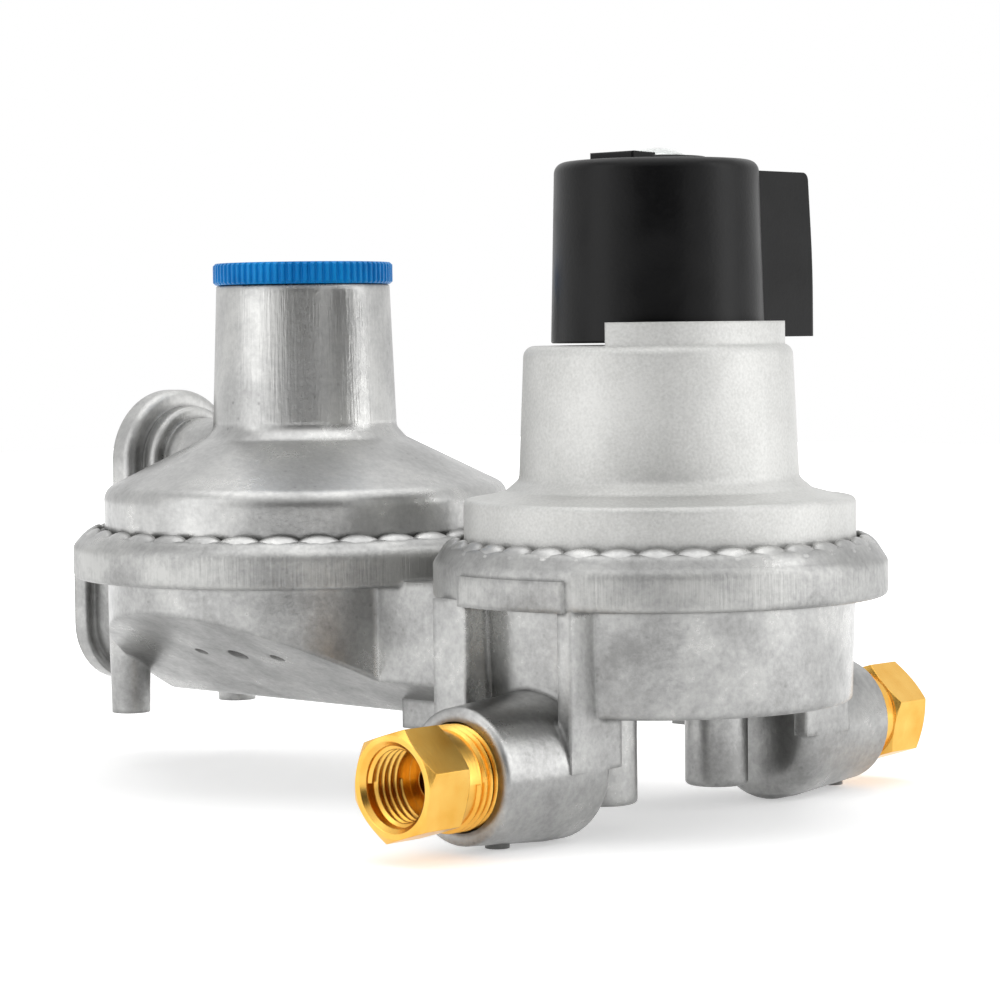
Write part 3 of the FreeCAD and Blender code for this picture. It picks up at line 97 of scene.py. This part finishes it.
def die_cast_zinc(name, shades, cloud_mm, drawn_from, drawn_to, drawn_depth_mm, drawn_dullness):
    """Raw die-cast skin: low clouds, pits, painted shade in corners, soft edges, upright marks between two
    heights.
    """
    material, tree, shader, place = start_material(name)
    grain_mm, pit_mm, mark_mm, edge_mm, painted_shade_reach_mm = 1.1, 2.2, 0.5, 1.5, 1.6
    grain_share, mark_share = 0.45, 0.14
    dark, plain, pale = 0.52, 0.72, 0.92        # where the three shades lie on the tone
    fade_in, fade_out = 0.0006, 0.0012          # height over which the upright marks set in and end
    clouds = add_node(tree, "ShaderNodeTexNoise", {
        "Vector": place, "Scale": 1000 / cloud_mm, "Detail": 5.0, "Roughness": 0.6,
        "Distortion": 0.2}).outputs["Fac"]
    grain = add_node(tree, "ShaderNodeTexNoise", {
        "Vector": place, "Scale": 1000 / grain_mm, "Detail": 4.0, "Roughness": 0.65}).outputs["Fac"]
    upright = add_node(tree, "ShaderNodeMapping", {
        "Vector": place, "Scale": (1.0, 1.0, 0.05)}).outputs["Vector"]
    marks = add_node(tree, "ShaderNodeTexNoise", {
        "Vector": upright, "Scale": 1000 / mark_mm, "Detail": 2.0, "Roughness": 0.5}).outputs["Fac"]
    height = add_node(tree, "ShaderNodeSeparateXYZ", {"Vector": place}).outputs["Z"]
    over = add_node(tree, "ShaderNodeMapRange", {
        "Value": height, "From Min": drawn_from, "From Max": drawn_from + fade_in}).outputs["Result"]
    under = add_node(tree, "ShaderNodeMapRange", {
        "Value": height, "From Min": drawn_to, "From Max": drawn_to - fade_out}).outputs["Result"]
    inside = add_node(tree, "ShaderNodeMath", {0: over, 1: under}, operation="MULTIPLY").outputs[0]
    drawn = add_node(tree, "ShaderNodeMath", {0: inside, 1: marks}, operation="MULTIPLY").outputs[0]
    fleck = add_node(tree, "ShaderNodeMath", {0: grain, 1: grain_share, 2: clouds},
                     operation="MULTIPLY_ADD").outputs[0]
    tone = add_node(tree, "ShaderNodeMath", {0: drawn, 1: mark_share, 2: fleck},
                    operation="MULTIPLY_ADD").outputs[0]
    skin = add_node(tree, "ShaderNodeValToRGB", {"Fac": tone},
                    stops=[(dark, shades[0]), (plain, shades[1]), (pale, shades[2])]).outputs["Color"]
    cells = add_node(tree, "ShaderNodeTexVoronoi", {
        "Vector": place, "Scale": 1000 / pit_mm}).outputs["Distance"]
    pits = add_node(tree, "ShaderNodeMapRange", {
        "Value": cells, "From Min": 0.04, "From Max": 0.20, "To Min": 0.7, "To Max": 0.0}).outputs["Result"]
    rare = add_node(tree, "ShaderNodeMapRange", {
        "Value": clouds, "From Min": 0.50, "From Max": 0.40}).outputs["Result"]
    pitted = add_node(tree, "ShaderNodeMath", {0: pits, 1: rare}, operation="MULTIPLY").outputs[0]
    worn = add_node(tree, "ShaderNodeMix", {"Factor": pitted, "A": skin, "B": colour("#7C7C7B")},
                    data_type="RGBA").outputs["Result"]
    # Painted shade: in tight corners and recesses, found by ambient occlusion, the colour darkens towards
    # #5E5E5D.
    opening = add_node(tree, "ShaderNodeAmbientOcclusion", {"Distance": painted_shade_reach_mm / 1000},
                       samples=8).outputs["AO"]
    painted_corner_shade = add_node(tree, "ShaderNodeMapRange", {
        "Value": opening, "From Min": 0.85, "From Max": 0.35, "To Max": 0.75}).outputs["Result"]
    base = add_node(tree, "ShaderNodeMix", {"Factor": painted_corner_shade, "A": worn, "B": colour("#5E5E5D")},
                    data_type="RGBA")
    tree.links.new(base.outputs["Result"], shader.inputs["Base Color"])
    gloss = add_node(tree, "ShaderNodeMapRange", {
        "Value": tone, "From Min": dark, "From Max": pale, "To Min": 0.37,
        "To Max": 0.26}).outputs["Result"]
    duller = add_node(tree, "ShaderNodeMath", {0: inside, 1: drawn_dullness, 2: gloss},
                      operation="MULTIPLY_ADD").outputs[0]
    tree.links.new(duller, shader.inputs["Roughness"])
    shader.inputs["Metallic"].default_value = 1.0
    edges = add_node(tree, "ShaderNodeBevel", {"Radius": edge_mm / 1000}, samples=4).outputs["Normal"]
    rough = add_node(tree, "ShaderNodeBump", {
        "Height": grain, "Normal": edges, "Strength": 0.35, "Distance": 0.00012}).outputs["Normal"]
    waves = add_node(tree, "ShaderNodeBump", {
        "Height": clouds, "Normal": rough, "Strength": 0.10, "Distance": 0.0004}).outputs["Normal"]
    lines = add_node(tree, "ShaderNodeBump", {
        "Height": drawn, "Normal": waves, "Strength": 0.4,
        "Distance": drawn_depth_mm / 1000}).outputs["Normal"]
    tree.links.new(lines, shader.inputs["Normal"])
    return material


rim_low, rim_high = 0.0397, 0.0470
casting_skin = die_cast_zinc("zinc alloy, die-cast and tumbled", ("#8C8C8B", "#9F9F9E", "#B2B2B0"),
                             cloud_mm=13.0, drawn_from=rim_low, drawn_to=rim_high,
                             drawn_depth_mm=0.25, drawn_dullness=0.18)
dress("lower_casting", casting_skin)


# Each rim's lip is pressed over the bonnet's flange by a tool with 36 jaws. Between two pinched
# notches the lip rises in a low arch, and its outer face carries on the slope of the shoulder.
# The arches are part of the zinc casting, bent cold; their skin is a brighter copy of the zinc's, a painted
# highlight.

petals = 36
petal_lean = math.radians(45)   # slope of the shoulder that the arches carry on
petal_half_length = 0.0023      # down the slope
petal_half_thick = 0.0009       # square to the slope
petal_overlap = 1.12            # neighbours run into one another and leave a cusp
petal_sink = 0.0016             # how far an arch is rooted in the lip
petal_inset = 0.00075           # its middle, in from the top of the shoulder
petal_drop = 0.0007             # and down from the flat of the lip


def petal_ring(name, centre_x, shoulder_r, lip_z):
    """One arch pressed out of a ball, copied round the rim and joined into one ring."""
    middle_r, middle_z = shoulder_r - petal_inset, lip_z - petal_drop
    half_pitch = math.pi * middle_r / petals
    bpy.ops.object.select_all(action="DESELECT")
    bpy.ops.mesh.primitive_uv_sphere_add(
        segments=32, ring_count=16, radius=1, location=(middle_r, 0, middle_z), rotation=(0, petal_lean, 0),
        scale=(petal_half_length, petal_overlap * half_pitch, petal_half_thick))
    petal = bpy.context.object
    bpy.ops.object.transform_apply(location=True, rotation=True, scale=True)
    bpy.ops.object.mode_set(mode="EDIT")
    bpy.ops.mesh.select_all(action="SELECT")
    bpy.ops.mesh.bisect(plane_co=(middle_r, 0, lip_z - petal_sink), plane_no=(0, 0, -1), use_fill=True,
                        clear_outer=True)
    bpy.ops.object.mode_set(mode="OBJECT")
    copies = [petal]
    for place in range(1, petals):
        copy = petal.copy()
        copy.data = petal.data.copy()
        copy.data.transform(Matrix.Rotation(2 * math.pi * place / petals, 4, "Z"))
        bpy.context.scene.collection.objects.link(copy)
        copies.append(copy)
    for copy in copies:
        copy.select_set(True)
    bpy.context.view_layer.objects.active = petal
    bpy.ops.object.join()
    petal.data.transform(Matrix.Translation((centre_x, 0, 0)))
    petal.name = name
    bpy.ops.object.shade_smooth()
    dress(petal, highlit_lip_and_cut_zinc)
    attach(petal, "housing")


# A brighter copy of the zinc skin: on the arches it is a painted highlight, on the outlet thread the colour
# of fresh-cut metal.
highlit_lip_and_cut_zinc = die_cast_zinc("zinc alloy, die-cast and rolled over", ("#989897", "#AAAAA9", "#BCBCBA"),
                         cloud_mm=10.0, drawn_from=rim_low, drawn_to=rim_high,
                         drawn_depth_mm=0.2, drawn_dullness=0.18)
first_x, second_x = 0.054, -0.037
petal_ring("first_rim_petals", first_x, shoulder_r=0.0378, lip_z=0.04935)
petal_ring("second_rim_petals", second_x, shoulder_r=0.0432, lip_z=0.04845)


# The bonnet of the second stage is a raw die casting of the same alloy. Its neck was drawn out
# of a sleeve in the die, which leaves faint upright marks and a little more polish.

neck_low, neck_high = 0.0690, 0.0955
bonnet_skin = die_cast_zinc("zinc alloy, die-cast, neck drawn from its sleeve",
                            ("#989897", "#AAAAA9", "#BCBCBA"), cloud_mm=16.0, drawn_from=neck_low,
                            drawn_to=neck_high, drawn_depth_mm=0.16, drawn_dullness=0.05)
dress("second_stage_bonnet", bonnet_skin)


# The first stage's bonnet is cast too, then blasted with glass beads. That gives an even,
# matte, pale grey with the faintest cloud and a very fine grain.

def bead_blasted():
    """Matte blasted casting: fine even peening, slight clouding and soft edges."""
    material, tree, shader, place = start_material("aluminium alloy, bead-blasted")
    peening_mm, cloud_mm, edge_mm, peening_share = 0.5, 22.0, 0.8, 0.6
    cloud = add_node(tree, "ShaderNodeTexNoise", {
        "Vector": place, "Scale": 1000 / cloud_mm, "Detail": 3.0}).outputs["Fac"]
    peening = add_node(tree, "ShaderNodeTexNoise", {
        "Vector": place, "Scale": 1000 / peening_mm, "Detail": 2.0}).outputs["Fac"]
    tone = add_node(tree, "ShaderNodeMath", {0: peening, 1: peening_share, 2: cloud},
                    operation="MULTIPLY_ADD").outputs[0]
    base = add_node(tree, "ShaderNodeValToRGB", {"Fac": tone}, stops=[(0.60, "#B9B9B7"), (1.00, "#CFCFCD")])
    tree.links.new(base.outputs["Color"], shader.inputs["Base Color"])
    shader.inputs["Metallic"].default_value = 1.0
    shader.inputs["Roughness"].default_value = 0.6
    edges = add_node(tree, "ShaderNodeBevel", {"Radius": edge_mm / 1000}, samples=4).outputs["Normal"]
    bump = add_node(tree, "ShaderNodeBump", {
        "Height": peening, "Normal": edges, "Strength": 0.35, "Distance": 0.00012})
    tree.links.new(bump.outputs["Normal"], shader.inputs["Normal"])
    return material


dress("first_stage_bonnet", bead_blasted())


# The inlet fittings are turned from hexagon bar of free-cutting brass and screwed into the
# bosses. The tool leaves fine rings on the turned faces, and the bar's flats stay drawn and
# bright. Seats, poppets, nozzle and plunger come from the same bar.

def turned_brass():
    """Bright brass with fine tool marks round its Y axis."""
    material, tree, shader, place = start_material("free-cutting brass, turned from bar")
    ring_mm, tone_mm, edge_mm = 0.4, 6.0, 0.25
    tone = add_node(tree, "ShaderNodeTexNoise", {
        "Vector": place, "Scale": 1000 / tone_mm, "Detail": 3.0}).outputs["Fac"]
    base = add_node(tree, "ShaderNodeValToRGB", {"Fac": tone}, stops=[(0.3, "#E6AE4C"), (0.7, "#F3C466")])
    tree.links.new(base.outputs["Color"], shader.inputs["Base Color"])
    shader.inputs["Metallic"].default_value = 1.0
    shader.inputs["Roughness"].default_value = 0.27
    across = add_node(tree, "ShaderNodeMapping", {
        "Vector": place, "Scale": (0.15, 1.0, 0.15)}).outputs["Vector"]
    rings = add_node(tree, "ShaderNodeTexNoise", {
        "Vector": across, "Scale": 1000 / ring_mm, "Detail": 2.0}).outputs["Fac"]
    edges = add_node(tree, "ShaderNodeBevel", {"Radius": edge_mm / 1000}, samples=4).outputs["Normal"]
    bump = add_node(tree, "ShaderNodeBump", {
        "Height": rings, "Normal": edges, "Strength": 0.15, "Distance": 0.0001})
    tree.links.new(bump.outputs["Normal"], shader.inputs["Normal"])
    return material


brass = turned_brass()
for side in ("left", "right"):
    for part in ("inlet_fitting", "valve_seat", "poppet"):
        dress(side + "_" + part, brass)
dress("second_stage_nozzle", brass)
dress("second_stage_plunger", brass)


# The fittings' threads are cut with a single-point tool: a female flare thread in the mouth,
# and a male thread on the shank that shows between the hexagon and the boss. The outlet's
# thread is tapped in the casting, so it has the raw metal's colour, freshly cut.

thread_pitch = 0.00141
thread_root = 0.0001            # how far a crest is rooted in its wall
thread_depth = 0.0006
thread_steps = 48               # in one turn
mouth_r, shank_r, outlet_r = 0.00675, 0.0083, 0.00735
inlet_z = 0.0129


def cut_thread(name, wall_r, depth, turns, start, axis, material):
    """A helical crest on a round wall; a negative depth points into the bore."""
    # The crest is a triangle: it stands 1.5 radii high, and its middle is a third of the way up.
    crest_r = abs(depth) / 1.5 + thread_root
    bpy.ops.object.select_all(action="DESELECT")
    bpy.ops.mesh.primitive_circle_add(vertices=3, radius=crest_r, location=(wall_r + depth / 3, 0, 0),
                                      rotation=(math.pi / 2, math.copysign(math.pi / 2, depth), 0))
    thread = bpy.context.object
    bpy.ops.object.transform_apply(location=True, rotation=True, scale=True)
    wind = thread.modifiers.new("winding", "SCREW")
    wind.axis = "Z"
    wind.screw_offset = thread_pitch
    wind.iterations = turns
    wind.steps = wind.render_steps = thread_steps
    bpy.ops.object.modifier_apply(modifier=wind.name)
    bpy.ops.object.mode_set(mode="EDIT")
    bpy.ops.mesh.select_all(action="SELECT")
    bpy.ops.mesh.remove_doubles(threshold=0.000001)
    bpy.ops.mesh.fill_holes(sides=4)
    bpy.ops.mesh.select_all(action="SELECT")
    bpy.ops.mesh.normals_make_consistent(inside=False)
    bpy.ops.object.mode_set(mode="OBJECT")
    towards = Vector(axis).to_track_quat("Z", "Y").to_matrix().to_4x4()
    thread.data.transform(Matrix.Translation(start) @ towards)
    thread.name = name
    bpy.ops.object.shade_smooth_by_angle(angle=math.radians(40))
    dress(thread, material)
    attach(thread, "housing")


mouth_start, shank_start = 0.06545, 0.0498      # from the middle, out along each inlet
outlet_start = (second_x - 0.0555, 0, 0.02755)
for side, sense in (("left", -1), ("right", 1)):
    cut_thread(side + "_mouth_thread", mouth_r, -thread_depth, turns=5,
               start=(first_x, sense * mouth_start, inlet_z), axis=(0, -sense, 0), material=brass)
    cut_thread(side + "_shank_thread", shank_r, thread_depth, turns=4,
               start=(first_x, sense * shank_start, inlet_z), axis=(0, sense, 0), material=brass)
cut_thread("outlet_thread", outlet_r, -thread_depth, turns=8, start=outlet_start, axis=(1, 0, 0),
           material=highlit_lip_and_cut_zinc)


# Sheet, wire and turned pieces inside both stages: zinc-plated pressed steel, bright drawn
# wire, plain turned aluminium and sintered bronze.

def worked_metal(name, low, high, roughness, grain_mm, stretch):
    """Metal with a grain that is drawn out along one axis."""
    material, tree, shader, place = start_material(name)
    drawn = add_node(tree, "ShaderNodeMapping", {"Vector": place, "Scale": stretch}).outputs["Vector"]
    grain = add_node(tree, "ShaderNodeTexNoise", {
        "Vector": drawn, "Scale": 1000 / grain_mm, "Detail": 3.0}).outputs["Fac"]
    base = add_node(tree, "ShaderNodeValToRGB", {"Fac": grain}, stops=[(0.3, low), (0.7, high)])
    tree.links.new(base.outputs["Color"], shader.inputs["Base Color"])
    shader.inputs["Metallic"].default_value = 1.0
    shader.inputs["Roughness"].default_value = roughness
    bump = add_node(tree, "ShaderNodeBump", {"Height": grain, "Strength": 0.2, "Distance": 0.0001})
    tree.links.new(bump.outputs["Normal"], shader.inputs["Normal"])
    return material


even, round_z = (1.0, 1.0, 1.0), (0.1, 0.1, 1.0)
plated = worked_metal("steel sheet, zinc-plated", "#A9A596", "#C9C6B8", 0.32, grain_mm=1.5, stretch=even)
wire = worked_metal("spring steel, drawn", "#8A8A8A", "#B5B5B5", 0.25, grain_mm=0.6, stretch=round_z)
turned = worked_metal("aluminium, turned", "#B7B7B7", "#D4D4D4", 0.28, grain_mm=0.5, stretch=round_z)
bronze = worked_metal("bronze, sintered", "#7C5A30", "#A87F48", 0.7, grain_mm=0.4, stretch=even)
for node in ("left_inlet_lever", "right_inlet_lever", "second_stage_lever", "first_diaphragm_plate",
             "second_diaphragm_plate", "first_spring_washer", "upper_spring_washer"):
    dress(node, plated)
for node in ("left_lever_pin", "right_lever_pin", "second_lever_pin", "first_stage_spring",
             "second_stage_spring", "relief_spring", "knob_clip", "vent_ring"):
    dress(node, wire)
for node in ("first_stage_pusher", "relief_stem", "relief_nut", "indicator_rod", "selector_spindle"):
    dress(node, turned)
for node in ("left_inlet_screen", "right_inlet_screen"):
    dress(node, bronze)


# Diaphragms and seals are nitrile rubber; the diaphragms have a fabric inside that prints
# through as a fine weave.

def nitrile(name, weave_mm):
    """Dull black rubber with a faint printed weave or grain."""
    material, tree, shader, place = start_material(name)
    weave = add_node(tree, "ShaderNodeTexNoise", {
        "Vector": place, "Scale": 1000 / weave_mm, "Detail": 2.0}).outputs["Fac"]
    base = add_node(tree, "ShaderNodeValToRGB", {"Fac": weave}, stops=[(0.3, "#1B1B1B"), (0.7, "#2C2C2C")])
    tree.links.new(base.outputs["Color"], shader.inputs["Base Color"])
    shader.inputs["Roughness"].default_value = 0.6
    bump = add_node(tree, "ShaderNodeBump", {"Height": weave, "Strength": 0.3, "Distance": 0.0002})
    tree.links.new(bump.outputs["Normal"], shader.inputs["Normal"])
    return material


diaphragm_rubber = nitrile("nitrile rubber, fabric-backed", 0.8)
seal_rubber = nitrile("nitrile rubber, moulded", 2.5)
for node in ("first_stage_diaphragm", "second_stage_diaphragm"):
    dress(node, diaphragm_rubber)
for node in ("left_inlet_seal", "right_inlet_seal", "left_seat_pad", "right_seat_pad",
             "second_seat_pad", "cap_gasket"):
    dress(node, seal_rubber)


# A diaphragm is clamped at its rim under the bonnet's flange, so it can't rise with its stack.
# A copy of it stays on the housing, and the moving node is hidden. Its mesh is a copy of the
# solid's.

for stage, centre_x, flange_z, depth, lift in (("first", first_x, 0.0452, 0.0020, 0.0012),
                                               ("second", second_x, 0.0443, 0.0028, 0.0020)):
    clamped = bpy.data.objects.new(stage + "_clamped_diaphragm",
                                   nodes[stage + "_stage_diaphragm"].data.copy())
    bpy.context.scene.collection.objects.link(clamped)
    dress(clamped, diaphragm_rubber)
    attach(clamped, "housing")
    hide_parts(stage + "_stage_diaphragm")
    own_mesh(clamped)


# The selector knob is moulded in black glass-filled nylon from a spark-eroded tool and pushed
# on the spindle, so it is a deep satin black with a fine grain and faint rub marks.

def moulded_nylon(name, low, high, roughness, sheen, grain_mm, depth_mm):
    """Satin moulded plastic with a fine eroded grain and faint rub marks."""
    material, tree, shader, place = start_material(name)
    rub_mm, edge_mm = 9.0, 0.4
    rub = add_node(tree, "ShaderNodeTexNoise", {
        "Vector": place, "Scale": 1000 / rub_mm, "Detail": 4.0, "Distortion": 0.4}).outputs["Fac"]
    base = add_node(tree, "ShaderNodeValToRGB", {"Fac": rub}, stops=[(0.35, low), (0.72, high)])
    tree.links.new(base.outputs["Color"], shader.inputs["Base Color"])
    gloss = add_node(tree, "ShaderNodeMapRange", {
        "Value": rub, "From Min": 0.3, "From Max": 0.7, "To Min": roughness - 0.04,
        "To Max": roughness + 0.06}).outputs["Result"]
    tree.links.new(gloss, shader.inputs["Roughness"])
    shader.inputs["IOR"].default_value = 1.53
    shader.inputs["Specular IOR Level"].default_value = sheen
    grain = add_node(tree, "ShaderNodeTexNoise", {
        "Vector": place, "Scale": 1000 / grain_mm, "Detail": 2.0}).outputs["Fac"]
    edges = add_node(tree, "ShaderNodeBevel", {"Radius": edge_mm / 1000}, samples=4).outputs["Normal"]
    bump = add_node(tree, "ShaderNodeBump", {
        "Height": grain, "Normal": edges, "Strength": 0.25, "Distance": depth_mm / 1000})
    tree.links.new(bump.outputs["Normal"], shader.inputs["Normal"])
    return material


dress("selector_knob", moulded_nylon("nylon, black, moulded", "#060607", "#0E0E0F", roughness=0.34,
                                     sheen=0.17, grain_mm=0.7, depth_mm=0.1))


# The window is a clear acrylic lens over a drum with two printed bands, which shows whether
# gas has run out on the chosen side.

def clear_acrylic():
    """Clear acrylic with a trace of moulding flow."""
    material, tree, shader, place = start_material("acrylic, clear, moulded")
    flow_mm = 5.0
    flow = add_node(tree, "ShaderNodeTexNoise", {
        "Vector": place, "Scale": 1000 / flow_mm, "Detail": 2.0}).outputs["Fac"]
    base = add_node(tree, "ShaderNodeValToRGB", {"Fac": flow}, stops=[(0.3, "#F2F7F4"), (0.7, "#FBFDFC")])
    tree.links.new(base.outputs["Color"], shader.inputs["Base Color"])
    shader.inputs["Transmission Weight"].default_value = 0.9
    shader.inputs["Roughness"].default_value = 0.06
    shader.inputs["IOR"].default_value = 1.49
    return material


def signal_print():
    """Drum with a green band over a red one."""
    material, tree, shader, place = start_material("signal paint, two printed bands")
    low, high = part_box("indicator_flag")
    height = add_node(tree, "ShaderNodeSeparateXYZ", {"Vector": place}).outputs["Z"]
    share = add_node(tree, "ShaderNodeMapRange", {
        "Value": height, "From Min": low[2], "From Max": high[2]}).outputs["Result"]
    band = add_node(tree, "ShaderNodeValToRGB", {"Fac": share},
                    stops=[(0.44, "#B3261C"), (0.46, "#1F8A3B")])
    tree.links.new(band.outputs["Color"], shader.inputs["Base Color"])
    shader.inputs["Roughness"].default_value = 0.35
    return material


dress("window_lens", clear_acrylic())
dress("indicator_flag", signal_print())


# The closing cap and the adjusting screw of the second stage are moulded: the cap in blue
# nylon with fine grip ribs, the screw in natural white acetal.

dress("closing_cap", moulded_nylon("nylon, blue, moulded", "#047CC8", "#0A92DE", roughness=0.34,
                                   sheen=0.16, grain_mm=0.9, depth_mm=0.08))
dress("adjusting_screw", moulded_nylon("acetal, white, moulded", "#D8D8D2", "#E6E6E0", roughness=0.35,
                                       sheen=0.4, grain_mm=0.9, depth_mm=0.08))


# The vent's screen is a woven stainless mesh behind its retaining ring. The weave is drawn
# coarser than the real one, at a pitch of about 1.6 mm, so that it shows.

def woven_mesh():
    """Crossed wires with dark gaps."""
    material, tree, shader, place = start_material("stainless wire, woven")
    mesh_pitch_mm = 1.58336
    wires = 100 * math.pi / mesh_pitch_mm       # a wave at scale 1 repeats every pi / 10 metres
    across = add_node(tree, "ShaderNodeTexWave", {"Vector": place, "Scale": wires},
                      bands_direction="Y").outputs["Fac"]
    upright = add_node(tree, "ShaderNodeTexWave", {"Vector": place, "Scale": wires},
                       bands_direction="Z").outputs["Fac"]
    weave = add_node(tree, "ShaderNodeMath", {0: across, 1: upright}, operation="MAXIMUM").outputs[0]
    base = add_node(tree, "ShaderNodeValToRGB", {"Fac": weave}, stops=[(0.5, "#2A2A2A"), (0.8, "#A5A5A5")])
    tree.links.new(base.outputs["Color"], shader.inputs["Base Color"])
    shader.inputs["Metallic"].default_value = 1.0
    shader.inputs["Roughness"].default_value = 0.35
    bump = add_node(tree, "ShaderNodeBump", {"Height": weave, "Strength": 0.6, "Distance": 0.0004})
    tree.links.new(bump.outputs["Normal"], shader.inputs["Normal"])
    return material


dress("vent_screen", woven_mesh())


# The studio: a white card floor that runs out into a white surround, three soft lamps, and a
# dark card behind the camera that the bare metal picks up as a soft grey band.

floor_size = 3.0
near, far, near_level = 0.12, 0.45, 0.42        # the card whitens from near the object outwards
bpy.ops.object.select_all(action="DESELECT")
bpy.ops.mesh.primitive_plane_add(size=floor_size, location=(0, 0, 0))
floor = bpy.context.object
floor.name = "floor"
card_material, tree, card, place = start_material("white card")
path = add_node(tree, "ShaderNodeLightPath", {})
seen = add_node(tree, "ShaderNodeMath", {
    0: path.outputs["Is Camera Ray"], 1: path.outputs["Is Glossy Ray"]}, operation="MAXIMUM").outputs[0]
away = add_node(tree, "ShaderNodeVectorMath", {0: place}, operation="LENGTH").outputs["Value"]
fade = add_node(tree, "ShaderNodeMapRange", {
    "Value": away, "From Min": near, "From Max": far, "To Min": near_level,
    "To Max": 1.0}).outputs["Result"]
lift = add_node(tree, "ShaderNodeMath", {0: seen, 1: fade}, operation="MULTIPLY").outputs[0]
card.inputs["Base Color"].default_value = colour("#F4F4F4")
card.inputs["Roughness"].default_value = 0.9
card.inputs["Emission Color"].default_value = (1, 1, 1, 1)
tree.links.new(lift, card.inputs["Emission Strength"])
dress(floor, card_material)

surround_level = 0.6            # at which the surround lights the object; it is seen as white
world = bpy.data.worlds.new("surround")
bpy.context.scene.world = world
world.use_nodes = True
tree = world.node_tree
path = add_node(tree, "ShaderNodeLightPath", {})
mirrored = add_node(tree, "ShaderNodeMath", {
    0: path.outputs["Is Glossy Ray"], 1: path.outputs["Is Transmission Ray"]},
    operation="MAXIMUM").outputs[0]
seen = add_node(tree, "ShaderNodeMath", {0: path.outputs["Is Camera Ray"], 1: mirrored},
                operation="MAXIMUM").outputs[0]
level = add_node(tree, "ShaderNodeMapRange", {
    "Value": seen, "To Min": surround_level, "To Max": 1.0}).outputs["Result"]
background = tree.nodes["Background"]
background.inputs["Color"].default_value = (1, 1, 1, 1)
tree.links.new(level, background.inputs["Strength"])

towards_camera = Vector((0.688, -0.725, 0)).normalized()
to_the_right = Vector((0.725, 0.688, 0)).normalized()
middle = Vector((0, 0, 0.06))


def softbox(name, side, ahead, height, width, tall, power):
    """A rectangular lamp that faces the middle of the object."""
    spot = to_the_right * side + towards_camera * ahead + Vector((0, 0, height))
    aim = (middle - spot).to_track_quat("-Z", "Y").to_euler()
    bpy.ops.object.light_add(type="AREA", location=spot, rotation=aim)
    lamp = bpy.context.object
    lamp.name = name
    lamp.data.shape = "RECTANGLE"
    lamp.data.size = width
    lamp.data.size_y = tall
    lamp.data.energy = power


softbox("softbox, left", side=-0.95, ahead=0.45, height=0.45, width=0.6, tall=1.0, power=2.2)
softbox("softbox, right", side=0.95, ahead=0.25, height=0.40, width=0.45, tall=1.0, power=3.0)
softbox("softbox, above", side=0.0, ahead=-0.1, height=1.1, width=1.2, tall=1.2, power=5.0)

card_distance, card_height, card_size = 1.0, 0.10, 1.0
spot = towards_camera * card_distance + Vector((0, 0, card_height))
bpy.ops.mesh.primitive_plane_add(size=card_size, location=spot,
                                 rotation=(middle - spot).to_track_quat("-Z", "Y").to_euler())
dark_card = bpy.context.object
dark_card.name = "dark_card"
dark_card.visible_camera = False
dark_card.visible_diffuse = False
dark_card.visible_shadow = False
card_material, _, card, _ = start_material("dark card")
card.inputs["Base Color"].default_value = colour("#141414")
card.inputs["Roughness"].default_value = 0.9
dress(dark_card, card_material)


# The camera repeats the photograph's place: a long lens, slightly above, a little rolled.

lens_mm, sensor_mm = 114.16, 36.0
azimuth = math.radians(43.5)
tilt = math.radians(3.01)
roll = math.radians(0.68)
bpy.ops.object.camera_add()
camera = bpy.context.object
camera.name = "camera"
camera.data.lens = lens_mm
camera.data.sensor_width = sensor_mm
turn = (Matrix.Rotation(azimuth, 4, "Z") @ Matrix.Rotation(math.pi / 2 - tilt, 4, "X")
        @ Matrix.Rotation(-roll, 4, "Z"))
camera_place = (0.4177, -0.4240, 0.08605)
camera.matrix_world = Matrix.Translation(camera_place) @ turn
bpy.context.scene.camera = camera
bpy.context.scene.view_settings.view_transform = "Standard"
